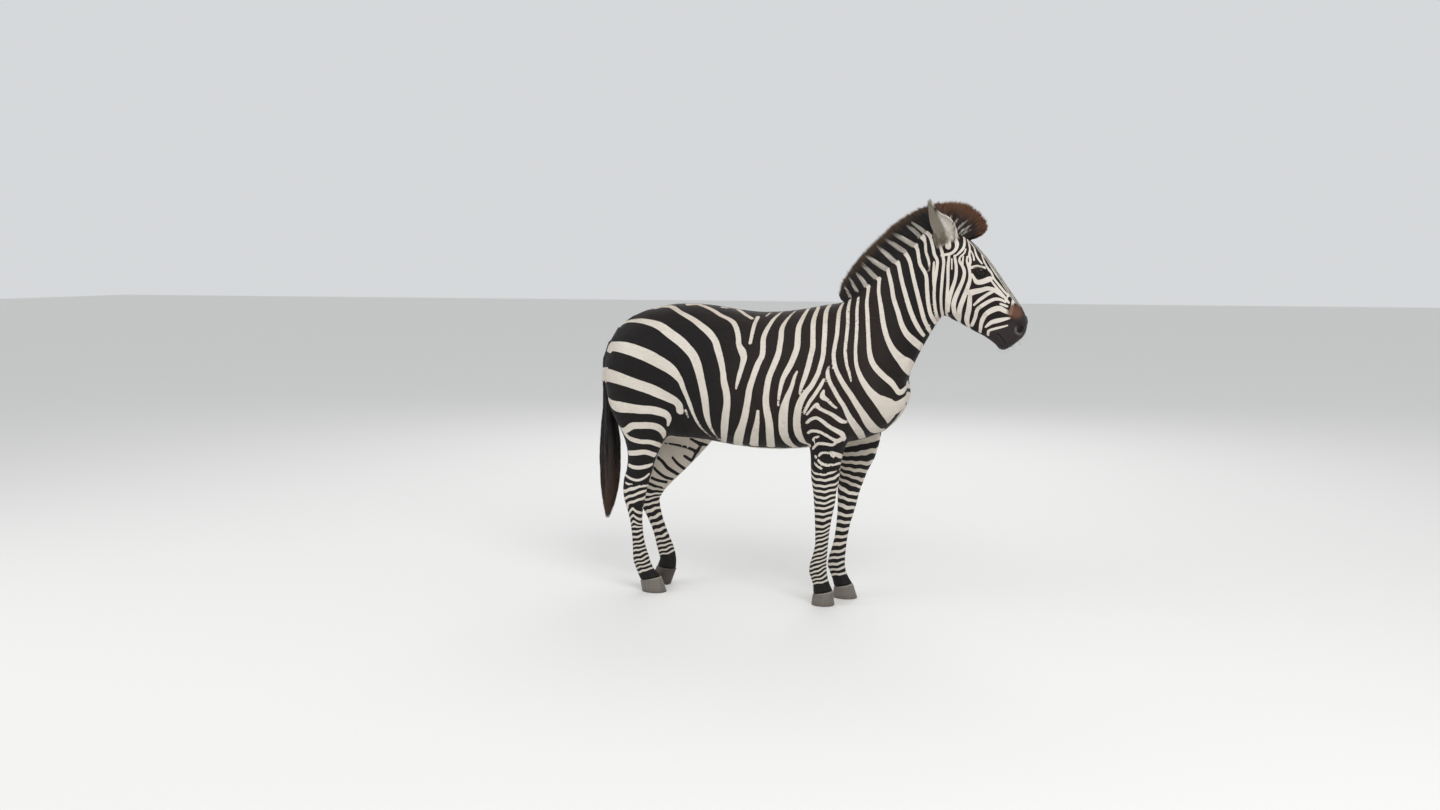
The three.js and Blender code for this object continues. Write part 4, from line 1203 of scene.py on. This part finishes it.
class Surface:
    """The skin's triangles, for roots, normals and places on the unwrap."""

    def __init__(self, skin):
        mesh = skin.data
        self.points, self.normals = read_mesh(mesh), read_normals(mesh)
        self.corners = read_triangles(mesh)
        loops = np.zeros(len(self.corners) * 3, np.int32)
        mesh.loop_triangles.foreach_get("loops", loops)
        uv = np.zeros(len(mesh.loops) * 2, np.float32)
        mesh.uv_layers["OFBake"].data.foreach_get("uv", uv)
        self.uv = uv.reshape(-1, 2)[loops].reshape(-1, 3, 2)
        a, b, c = (self.points[self.corners[:, k]] for k in range(3))
        self.area = np.linalg.norm(np.cross(b - a, c - a), axis=1) / 2
        self.middle = (a + b + c) / 3
        self.tree = BVHTree.FromPolygons(self.points.tolist(), self.corners.tolist())

    def at(self, faces, share):
        """Points, normals and unwrap places at shares (n, 3) of given triangles."""
        corners = self.corners[faces]
        points = np.einsum("nk,nkd->nd", share, self.points[corners])
        normals = unit(np.einsum("nk,nkd->nd", share, self.normals[corners]))
        return points, normals, np.einsum("nk,nkd->nd", share, self.uv[faces])

    def scatter(self, density):
        """Random roots, so many to a square metre, given for each triangle."""
        counts = rng.poisson(self.area * density)
        faces = np.repeat(np.arange(len(counts)), counts)
        share = rng.dirichlet((1, 1, 1), len(faces))
        return self.at(faces, share)

    def snap(self, spots):
        """The nearest places on the skin."""
        faces, share = [], []
        for spot in spots:
            near, _, face, _ = self.tree.find_nearest(Vector(spot))
            a, b, c = self.points[self.corners[face]]
            n = np.cross(b - a, c - a)
            p = np.array(near)
            whole = n @ n
            u = np.cross(b - p, c - p) @ n / whole
            v = np.cross(c - p, a - p) @ n / whole
            faces.append(face)
            share.append((u, v, 1 - u - v))
        return self.at(np.array(faces), np.clip(np.array(share), 0, 1))


def hair_mesh(name, rails, widths, sides, uv, fields, normals):
    """Flat tapering blades: rails (n, k, 3) run from root to tip, sides (n, 3) point across."""
    count, steps, _ = rails.shape
    taper = widths[:, :, None] * sides[:, None, :] / 2
    left, right = rails - taper, rails + taper
    body = np.stack([left[:, :-1], right[:, :-1]], axis=2).reshape(count, (steps - 1) * 2, 3)
    points = np.concatenate([body, rails[:, -1:]], axis=1)
    each = points.shape[1]
    pattern = []
    for k in range(steps - 2):
        a = 2 * k
        pattern += [(a, a + 1, a + 3), (a, a + 3, a + 2)]
    pattern.append((each - 3, each - 2, each - 1))
    pattern = np.array(pattern)
    faces = (pattern[None] + (np.arange(count) * each)[:, None, None]).reshape(-1, 3)
    mesh = bpy.data.meshes.new(name)
    mesh.vertices.add(count * each)
    mesh.vertices.foreach_set("co", points.astype(np.float32).ravel())
    mesh.loops.add(faces.size)
    mesh.loops.foreach_set("vertex_index", faces.astype(np.int32).ravel())
    mesh.polygons.add(len(faces))
    mesh.polygons.foreach_set("loop_start", (np.arange(len(faces)) * 3).astype(np.int32))
    mesh.update(calc_edges=True)
    mesh.polygons.foreach_set("use_smooth", np.ones(len(faces), bool))
    run = np.repeat(np.linspace(0, 1, steps)[:-1], 2)
    stations = np.append(np.repeat(np.arange(steps - 1), 2), steps - 1)
    local = np.stack([np.tile([-0.5, 0.5], steps - 1), run - 0.5], axis=1)
    local = np.vstack([local, [0.0, 0.5]]) * PATCH
    places = np.clip(uv[:, None, :] + local[None], 0.0, 1.0).reshape(-1, 2)
    layer = mesh.uv_layers.new(name="OFBake")
    layer.data.foreach_set("uv", places[faces.ravel()].astype(np.float32).ravel())
    carried = {}
    for key, values in fields.items():
        by_step = values.ndim == 2 and key not in ("pale", "dark")
        carried[key] = values[:, stations].ravel() if by_step else np.repeat(values, each, axis=0)
    carried["along"] = np.tile(np.append(run, 1.0), count)
    write_fields(mesh, carried)
    mesh.normals_split_custom_set_from_vertices(np.repeat(normals, each, axis=0).tolist())
    return add_object(name, mesh)


def finish_hair(thing, material, slot, *nodes):
    thing.data.materials.append(material)
    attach(thing, "root")
    if nodes:
        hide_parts(*nodes)


def lie_of_coat(points, normals):
    """Which way the short hair points: back along the body, down the legs, down the face."""
    head, ear, leg, dock = region_weights(points)
    way = np.tile(np.array([-1.0, 0.0, -0.45]), (len(points), 1))
    neck = ramp(points[:, 0], 0.22, 0.42)[:, None] * (1 - head[:, None])
    way += neck * (np.array([-0.75, 0, -0.9]) - way)
    face = head[:, None]
    way += face * (0.55 * ALONG_FACE + np.array([-0.35, 0, -0.55]) - way)
    rump = (ramp(-points[:, 0], 0.50, 0.66) * (1 - leg))[:, None]
    way += rump * (np.array([-0.25, 0, -1.0]) - way)
    low = np.maximum(leg, dock)[:, None]
    way += low * (np.array([-0.15, 0, -1.0]) - way)
    up = unit(EAR_TIP - EAR_ROOT)
    axis = up * np.array([1, 0, 1]) + np.sign(points[:, 1])[:, None] * np.array([0, abs(up[1]), 0])
    tip = ramp(ear_place(points)[1], 0.86, 0.97)[:, None] * np.array([1.0, 0, -0.35])
    way += ear[:, None] * (axis + 0.16 * tip - way)
    way += rng.normal(0, 0.10, way.shape)
    return unit(way - np.sum(way * normals, axis=1, keepdims=True) * normals)


# Piece, tufts to a square metre, length, width, how far the tips stand off per length.
SHORT_COATS = {
    "coat_trunk": (22000, 0.0125, 0.0021, 0.22),
    "coat_neck": (32000, 0.0115, 0.0019, 0.22),
    "coat_head": (70000, 0.0055, 0.0012, 0.18),
    "coat_ears": (80000, 0.0080, 0.0012, 0.30),
    "coat_legs": (44000, 0.0078, 0.0015, 0.20),
}


def coat_region(points):
    """Name of the coat piece that each point belongs to."""
    head, ear, _, _ = region_weights(points)
    names = np.full(len(points), "coat_trunk", dtype=object)
    names[points[:, 0] > 0.30 - 0.4 * (1.2 - points[:, 2])] = "coat_neck"
    names[points[:, 2] < 0.66] = "coat_legs"
    names[(head > 0.5)] = "coat_head"
    names[ear > 0.3] = "coat_ears"
    return names


def fields_along(roots, tips, normals, steps):
    """Markings along each tuft: the root's, drawn part of the way to those under its tip."""
    at_root, at_tip = coat.fields(roots, normals), coat.fields(tips, normals)
    fields = {"pale": at_root["pale"], "dark": at_root["dark"]}
    for key in ("field", "phase", "pitch", "take"):
        change = at_tip[key] - at_root[key]
        fields[key] = at_root[key][:, None] + 0.92 * change[:, None] * steps[None]
    return fields


def short_coat(surface):
    regions = coat_region(surface.middle)
    arm = surface.middle - POLL
    along_face = arm @ ALONG_FACE
    snout = (along_face > 0.485) & (regions == "coat_head")
    for name, (density, length, width, stand) in SHORT_COATS.items():
        here = np.where((regions == name) & ~snout, density, 0.0)
        points, normals, uv = surface.scatter(here)
        eye = np.minimum(np.linalg.norm(points - EYE_AT, axis=1),
                         np.linalg.norm(points - EYE_AT * np.array([1, -1, 1]), axis=1))
        keep = (eye > 0.030) & (points[:, 2] > 0.078)
        points, normals, uv = points[keep], normals[keep], uv[keep]
        way = lie_of_coat(points, normals)
        count = len(points)
        size = length * rng.uniform(0.7, 1.25, count)
        if name == "coat_ears":
            size *= 1 + 1.1 * ramp(ear_place(points)[1], 0.86, 0.97)
        if name in ("coat_trunk", "coat_neck"):
            size *= 1 + 0.35 * ramp(-normals[:, 2], 0.3, 0.9)
        steps = np.array([0.0, 0.55, 1.0])
        rise = stand * (steps - 0.35 * steps ** 2) * rng.uniform(0.7, 1.2, count)[:, None]
        rails = (points[:, None] + way[:, None] * size[:, None, None] * steps[None, :, None]
                 + normals[:, None] * ((rise * size[:, None]) - 0.0006)[:, :, None])
        sides = np.cross(way, normals)
        widths = width * rng.uniform(0.7, 1.3, count)[:, None] * np.array([1.0, 0.8, 0.0])[None]
        fields = fields_along(points, points + way * size[:, None], normals, steps)
        thing = hair_mesh(name, rails, widths, sides, uv, fields, normals)
        finish_hair(thing, COAT, "coat")


# Mane and forelock, from the withers to the forehead: where the hair leaves the side of the
# neck, and where it ends, as (x, z).
MANE_LINE = (((0.180, 1.302), (0.160, 1.325)), ((0.235, 1.320), (0.166, 1.375)),
             ((0.282, 1.355), (0.208, 1.443)), ((0.333, 1.389), (0.236, 1.476)),
             ((0.372, 1.428), (0.255, 1.500)), ((0.410, 1.456), (0.292, 1.538)),
             ((0.445, 1.498), (0.330, 1.573)), ((0.486, 1.527), (0.367, 1.608)),
             ((0.516, 1.554), (0.404, 1.635)), ((0.543, 1.568), (0.442, 1.658)),
             ((0.560, 1.586), (0.487, 1.682)), ((0.580, 1.598), (0.530, 1.696)),
             ((0.597, 1.604), (0.575, 1.704)), ((0.617, 1.596), (0.628, 1.710)),
             ((0.641, 1.586), (0.686, 1.702)), ((0.661, 1.574), (0.731, 1.672)),
             ((0.675, 1.564), (0.762, 1.634)), ((0.684, 1.556), (0.770, 1.600)),
             ((0.690, 1.550), (0.746, 1.580)))
FORELOCK_FROM = 12                 # stations past this make the forelock
MANE_BLADES, FORELOCK_BLADES = ((16000, 8000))
MANE_HALF_WIDTH, FORELOCK_HALF_WIDTH = 0.033, 0.032


def mane_hair(surface, name, first, last, count, half_width, material, *nodes):
    feet, ends = np.array(MANE_LINE)[:, 0], np.array(MANE_LINE)[:, 1]
    stations = np.arange(len(feet))
    where = rng.uniform(first, last, count)
    across = rng.uniform(-1, 1, count)
    foot = np.stack([np.interp(where, stations, feet[:, k]) for k in (0, 1)], 1)
    end = np.stack([np.interp(where, stations, ends[:, k]) for k in (0, 1)], 1)
    raised = 0.32 * (1 - np.abs(across) ** 1.6)
    start = np.stack([foot[:, 0], across * half_width, foot[:, 1]], 1)
    start[:, [0, 2]] += (end - foot) * raised[:, None]
    points, normals, uv = surface.snap(start)
    reach = rng.uniform(0.82, 1.0, count) ** 0.8
    tip = np.stack([foot[:, 0], across * half_width * 0.30, foot[:, 1]], 1)
    tip[:, [0, 2]] += (end - foot) * reach[:, None]
    tip += rng.normal(0, 1, tip.shape) * np.array([0.0045, 0.0040, 0.0045])
    steps = np.linspace(0, 1, 6)
    bow = rng.normal(0, 0.0025, (count, 3))[:, None] * np.sin(steps * math.pi)[None, :, None]
    bulge = 0.010 * np.sin(steps * math.pi)[None] * np.sign(across)[:, None] * np.abs(across)[:, None]
    rails = points[:, None] + (tip - points)[:, None] * steps[None, :, None] + bow
    rails[:, :, 1] += bulge
    rails[:, 0] -= normals * 0.003
    along = unit(tip - points)
    outward = unit(np.stack([rng.normal(0, 0.35, count), across + rng.normal(0, 0.3, count),
                             0.35 + rng.normal(0, 0.2, count)], 1))
    sides = unit(np.cross(along, outward))
    widths = rng.uniform(0.0016, 0.0033, count)[:, None] * np.array([1.0, 1.0, 1.0, 0.85, 0.6, 0.0])[None]
    flat = (rails * np.array([1, 0, 1])).reshape(-1, 3)
    pixels = project(flat)
    inside = np.full(len(flat), -9.0)
    for stroke in MANE_STRIPES.values():
        curve = picture_curve(stroke)
        inside = np.maximum(inside, -line_distance(pixels, curve[:, :2], curve[:, 2]))
    fields = {"field": np.maximum(inside, -4).reshape(count, 6) * 0.0042, "shade": rng.random(count)}
    light = unit(np.stack([0.12 * rng.normal(0, 1, count), across * 1.2 + 0.15 * rng.normal(0, 1, count),
                           np.full(count, 0.5)], 1))
    thing = hair_mesh(name, rails, widths, sides, uv, fields, light)
    finish_hair(thing, material, "long_hair", *nodes)


def mane_material(name, stripes_to, tip_colour, root_colour, strand_colour, share, specular,
                  pale_colour=(0.58, 0.53, 0.46)):
    """Long hair: the neck's stripes at the root, a darker or rusty outer end."""
    n = Nodes(name, 0.5)
    along, shade = n.attribute("along"), n.attribute("shade")
    white = n.spread(n.attribute("field"), -0.0015, 0.0015)
    uneven = n.math("MULTIPLY", n.math("SUBTRACT", shade, 0.5), 0.22)
    fade = n.spread(n.math("ADD", along, uneven), stripes_to - 0.16, stripes_to + 0.14, 1.0, 0.0)
    lit = n.mix(n.math("MULTIPLY", white, fade), root_colour, pale_colour)
    tip = n.spread(n.math("ADD", along, uneven), stripes_to, 1.0)
    lit = n.mix(tip, lit, tip_colour)
    lit = n.mix(n.spread(shade, 0.0, 1.0, 0.0, share), lit, strand_colour)
    n.colour(lit)
    n.shader.inputs["Specular IOR Level"].default_value = specular
    return n.material


# The tail's tassel: height, back and front outline, half width.
TASSEL = ((0.88, -0.931, -0.889, 0.021), (0.80, -0.932, -0.883, 0.025), (0.74, -0.939, -0.867, 0.036),
          (0.65, -0.945, -0.856, 0.043), (0.56, -0.947, -0.854, 0.044), (0.47, -0.944, -0.861, 0.039),
          (0.40, -0.938, -0.874, 0.030), (0.34, -0.930, -0.893, 0.018), (0.30, -0.922, -0.911, 0.006))


TASSEL_LOCKS = 4600


def tail_hair(surface, material):
    """Long locks that hang from the last of the dock."""
    count, pieces = TASSEL_LOCKS, 9
    height, back, front, half = np.array(TASSEL[::-1]).T
    angle = rng.uniform(0, 2 * math.pi, count)
    top = rng.uniform(0.802, 0.880, count)
    start = np.stack([np.interp(top, height, (back + front) / 2) + 0.03 * np.cos(angle),
                      0.03 * np.sin(angle), top], 1)
    points, _, uv = surface.snap(start)
    lowest = 0.295 + 0.30 * rng.random(count) ** 1.6
    depth = rng.uniform(0.25, 1.0, count) ** 0.6
    steps = np.linspace(0, 1, pieces)
    z = points[:, 2:] + (lowest[:, None] - points[:, 2:]) * steps[None]
    middle, swell = np.interp(z, height, (back + front) / 2), np.interp(z, height, (front - back) / 2)
    aside = np.interp(z, height, half)
    curl = rng.uniform(0, 2 * math.pi, count)[:, None]
    wave = 0.004 * steps[None]
    x = middle + swell * (depth * np.cos(angle))[:, None] + wave * np.sin(curl + steps[None] * 9)
    y = aside * (depth * np.sin(angle))[:, None] + wave * np.cos(curl + steps[None] * 7)
    rails = np.stack([x, y, z], 2)
    settle = np.minimum(1, steps * 5)[None, :, None]
    rails = points[:, None] * np.array([1, 1, 0]) * (1 - settle) + rails * np.where(
        np.arange(3) == 2, 1, settle)
    sides = unit(np.stack([np.sin(angle) + rng.normal(0, 0.4, count),
                           -np.cos(angle) + rng.normal(0, 0.4, count), np.zeros(count)], 1))
    taper = np.array([1, 1, 1, 1, 0.95, 0.85, 0.7, 0.4, 0])
    widths = rng.uniform(0.0016, 0.0036, count)[:, None] * taper[None]
    light = unit(np.stack([np.cos(angle), np.sin(angle), np.full(count, 0.3)], 1)
                 + 0.2 * rng.normal(0, 1, (count, 3)))
    fields = {"field": np.full(count, -0.05), "shade": rng.random(count)}
    thing = hair_mesh("tail_tassel", rails, widths, sides, uv, fields, light)
    finish_hair(thing, material, "long_hair", "tail_tuft")


def hair_at(surface, name, starts, tips, widths, material, bend, steps_count=4):
    """A few long separate hairs, such as lashes and whiskers."""
    points, normals, uv = surface.snap(starts)
    steps = np.linspace(0, 1, steps_count)
    sag = np.array([0, 0, -1.0]) * bend
    rails = points[:, None] + (tips - points)[:, None] * steps[None, :, None]
    rails += sag * (steps ** 2)[None, :, None]
    rails[:, 0] -= normals * 0.001
    sides = unit(np.cross(unit(tips - points), rng.normal(0, 1, points.shape)))
    taper = np.linspace(1, 0, steps_count)
    fields = {"field": np.full(len(points), -0.05), "shade": np.full(len(points), 0.1)}
    thing = hair_mesh(name, rails, widths[:, None] * taper[None], sides, uv, fields, normals)
    finish_hair(thing, material, "long_hair")


LASHES, LASH = 34, 0.014           # of each upper lid; their length
WHISKER, WHISKERS_PER_M2 = 0.026, 3200.0


def lashes(surface, side):
    """A row of lashes along the upper lid."""
    out, long, rise = eye_frame(side)
    a = np.radians(np.linspace(-46, 50, LASHES))
    bow = np.clip(1 - (np.degrees(a) / LID_HALF_LENGTH) ** 2, 0, 1) ** 0.75
    b = np.radians(UPPER_LID * bow + 3)
    way = np.sin(a)[:, None] * long + np.sin(b)[:, None] * rise
    way += np.sqrt(np.clip(1 - np.sum(way ** 2, axis=1), 0.05, 1))[:, None] * out
    start = EYE_AT * np.array([1, side, 1]) + way * (EYE_RADIUS + 0.003)
    lean = unit(0.8 * way + 0.7 * out + np.array([0, 0, -0.30]) + rng.normal(0, 0.08, way.shape))
    tips = start + lean * (LASH * rng.uniform(0.75, 1.1, LASHES))[:, None]
    name = "lashes_right" if side < 0 else "lashes_left"
    hair_at(surface, name, start, tips, np.full(LASHES, 0.0009), TAIL, -0.003)


def whiskers(surface):
    """Sparse bristles about the lips and chin."""
    arm = surface.middle - POLL
    chin = (arm @ ALONG_FACE > 0.49) & (arm @ ABOVE_FACE < -0.02) & (past_poll(surface.middle) > 0.2)
    points, normals, _ = surface.scatter(np.where(chin, WHISKERS_PER_M2, 0.0))
    reach = WHISKER * rng.uniform(0.5, 1.1, len(points))
    tips = points + unit(normals + [0.1, 0, -0.35]) * reach[:, None]
    hair_at(surface, "whiskers", points, tips, np.full(len(points), 0.0006), TAIL, 0.004)


unwrap(skin)
surface = Surface(skin)
short_coat(surface)
MANE = mane_material("mane_hair", 0.66, (0.125, 0.074, 0.040), (0.014, 0.011, 0.010), (0.004, 0.003, 0.003),
                     0.40, 0.22)
FORELOCK = mane_material("forelock_hair", 0.48, (0.190, 0.080, 0.036), (0.022, 0.013, 0.010),
                         (0.006, 0.003, 0.003), 0.40, 0.22)
TAIL = mane_material("tail_hair", 0.56, (0.110, 0.050, 0.027), (0.010, 0.009, 0.010), (0.026, 0.018, 0.015),
                     0.60, 0.32)
mane_hair(surface, "mane_hair", 0, FORELOCK_FROM - 0.3, MANE_BLADES, MANE_HALF_WIDTH, MANE, "mane")
mane_hair(surface, "forelock_hair", FORELOCK_FROM - 0.6, len(MANE_LINE) - 1, FORELOCK_BLADES,
          FORELOCK_HALF_WIDTH, FORELOCK, "forelock")
tail_hair(surface, TAIL)
for side in (-1, 1):
    lashes(surface, side)
whiskers(surface)


# ---- Eyes ----
def make_eye(side, name, node):
    """A ball with a slightly raised cornea."""
    rows, columns = 40, 56
    out = eye_frame(side)[0]
    across = unit(np.cross(out, [0, 0, 1.0]))
    up = np.cross(across, out)
    points, faces = [out], []
    for i in range(1, rows):
        tilt = math.pi * i / rows
        for j in range(columns):
            turn = 2 * math.pi * j / columns
            rim = across * math.cos(turn) + up * math.sin(turn)
            points.append(out * math.cos(tilt) + math.sin(tilt) * rim)
    points.append(-out)
    points = np.array(points)
    front = ramp(points @ out, math.cos(math.radians(46)), math.cos(math.radians(28)))
    points *= (EYE_RADIUS * (1 + 0.035 * front))[:, None]
    for j in range(columns):
        k = (j + 1) % columns
        faces.append((0, 1 + j, 1 + k))
        last = 1 + (rows - 2) * columns
        faces.append((last + k, last + j, len(points) - 1))
        for i in range(rows - 2):
            a = 1 + i * columns
            faces.append((a + j, a + columns + j, a + columns + k, a + k))
    eye = add_object(name, mesh_of(name, points + EYE_AT * np.array([1, side, 1]), faces))
    eye.data.polygons.foreach_set("use_smooth", np.ones(len(eye.data.polygons), bool))
    flat = unit(points)
    tilt = np.degrees(np.arccos(np.clip(flat @ out, -1, 1)))
    slit = np.hypot((flat @ across) / 0.36, (flat @ up) / 0.20)
    write_fields(eye.data, {"iris": tilt, "pupil": slit})
    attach(eye, "root")
    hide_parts(node)
    eye.data.materials.append(EYE)


def eye_material():
    n = Nodes("eye_ball", 0.06)
    iris = n.spread(n.attribute("iris"), 40, 46)
    pupil = n.spread(n.attribute("pupil"), 0.9, 1.1)
    brown = n.mix(n.noise(500, (1, 1, 1), 3), (0.009, 0.005, 0.004), (0.024, 0.012, 0.007))
    brown = n.mix(pupil, (0.003, 0.003, 0.004), brown)
    n.colour(n.mix(iris, brown, (0.014, 0.009, 0.007)))
    n.shader.inputs["Specular IOR Level"].default_value = 0.20
    n.shader.inputs["Coat Weight"].default_value = 0.04
    n.shader.inputs["Coat Roughness"].default_value = 0.03
    return n.material


# ---- Hooves ----
def hoof_material(name, depth):
    """Grey horn with growth rings, a paler band at the coronet and darker towards the bottom; the share
    depth mixes near black over the whole hoof as painted shade.
    """
    n = Nodes(name, 0.5)
    place = n.add("ShaderNodeTexCoord").outputs["Object"]
    height = n.add("ShaderNodeSeparateXYZ", {"Vector": place}).outputs["Z"]
    tone = n.mix(n.noise(60, (1, 1, 0.15), 4), (0.085, 0.072, 0.064), (0.210, 0.185, 0.160))
    rings = n.add("ShaderNodeTexWave", {"Vector": place, "Scale": 46.0, "Distortion": 1.6, "Detail": 2.0},
                  wave_type="BANDS", bands_direction="Z").outputs["Fac"]
    tone = n.mix(n.spread(rings, 0.2, 0.9, 0.0, 0.35), tone, (0.25, 0.22, 0.19))
    low = n.spread(height, 0.0, 0.020, 0.75, 0.0)
    tone = n.mix(low, tone, (0.11, 0.085, 0.062))
    top = n.spread(n.attribute("coronet"), 0.006, 0.0, 0.0, 0.8)
    tone = n.mix(top, tone, (0.40, 0.36, 0.31))
    # Painted shade: the whole hoof is mixed towards near black by depth.
    n.colour(n.mix(depth, tone, (0.030, 0.020, 0.014)))
    grain = n.math("ADD", n.math("MULTIPLY", rings, 0.8), n.noise(240, (1, 1, 0.1), 3))
    n.bump(grain, 0.35, 0.0012)
    n.put(n.shader.inputs["Roughness"], n.spread(n.noise(90, (1, 1, 1), 3), 0.3, 0.7, 0.42, 0.66))
    return n.material


CORONET_SECTORS = 12               # the coronet's height is taken in so many directions


def make_hoof(leg):
    """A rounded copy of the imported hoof, flat where it stands."""
    node = f"hoof_{leg}"
    points, faces = node_shell([node])
    hoof = voxel_skin(f"horn_{leg}", points, faces, 0.0022)
    before = read_mesh(hoof.data)
    set_weights(hoof, "round", ramp(before[:, 2], 0.001, 0.006), 10)
    smooth = hoof.modifiers.new("round", "SMOOTH")
    smooth.factor = 0.6
    smooth.iterations = 10
    smooth.vertex_group = "round"
    applied(hoof)
    hoof.vertex_groups.clear()
    after = read_mesh(hoof.data)
    after[:, 2] = np.where(before[:, 2] < 0.0025, np.maximum(points[:, 2].min(), 0.0), after[:, 2])
    write_points(hoof.data, after)
    hoof.data.polygons.foreach_set("use_smooth", np.ones(len(hoof.data.polygons), bool))
    tops = np.zeros(len(after))
    turn = np.arctan2(after[:, 1] - after[:, 1].mean(), after[:, 0] - after[:, 0].mean())
    sector = np.floor((turn + math.pi) / (2 * math.pi) * (CORONET_SECTORS - 0.001))
    for k in range(CORONET_SECTORS):
        tops[sector == k] = after[sector == k, 2].max()
    write_fields(hoof.data, {"coronet": tops - after[:, 2]})
    # The far hind hoof takes the heavily shaded horn: painted shade.
    hoof.data.materials.append(SHADED_HORN if leg == "hind_left" else HORN)
    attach(hoof, "root")
    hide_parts(node)


EYE = eye_material()
make_eye(-1, "eyeball_right", "eye_right")
make_eye(1, "eyeball_left", "eye_left")
HORN = hoof_material("hoof_horn", 0.15)
# Heavy painted shade for the far hind hoof.
SHADED_HORN = hoof_material("hoof_horn_shaded", 0.85)
for leg in ("fore_right", "fore_left", "hind_right", "hind_left"):
    make_hoof(leg)


# ---- Stage ----
FLOOR_REACH = 40.0
SKY, SKY_STRENGTH = (0.86, 0.88, 0.90, 1), 0.78
LAMPS = (("key", (3.2, -4.5, 5.5), 230), ("fill", (-4.5, -3.0, 3.5), 60),
         ("back", (-1.0, 5.0, 4.5), 90))       # name, place, watts
LAMP_SIZE = 4.0
LAMPS_AIM_AT = Vector((0, 0, 0.9))


def make_floor():
    corners = [(x * FLOOR_REACH, y * FLOOR_REACH, 0) for x, y in ((-1, -1), (1, -1), (1, 1), (-1, 1))]
    floor = add_object("floor", mesh_of("floor", corners, [(0, 1, 2, 3)]))
    n = Nodes("floor", 0.9)
    n.colour((0.80, 0.79, 0.77))
    floor.data.materials.append(n.material)


def make_light():
    bpy.context.scene.view_settings.view_transform = "Standard"
    world = bpy.data.worlds.new("studio")
    bpy.context.scene.world = world
    world.use_nodes = True
    background = world.node_tree.nodes["Background"]
    background.inputs["Color"].default_value = SKY
    background.inputs["Strength"].default_value = SKY_STRENGTH
    for name, at, power in LAMPS:
        data = bpy.data.lights.new(name, "AREA")
        data.size = LAMP_SIZE
        data.energy = power
        lamp = bpy.data.objects.new(name, data)
        bpy.context.scene.collection.objects.link(lamp)
        lamp.location = at
        lamp.rotation_euler = (LAMPS_AIM_AT - Vector(at)).to_track_quat("-Z", "Y").to_euler()


def make_camera():
    data = bpy.data.cameras.new("camera")
    data.sensor_width = SENSOR
    data.lens = FOCAL_PX * SENSOR / PICTURE[0]
    data.clip_end = 200
    camera = bpy.data.objects.new("camera", data)
    bpy.context.scene.collection.objects.link(camera)
    camera.location = CAMERA_AT
    camera.rotation_euler = (math.pi / 2 - CAMERA_PITCH, 0, CAMERA_TURN)
    bpy.context.scene.camera = camera


make_floor()
make_light()
make_camera()
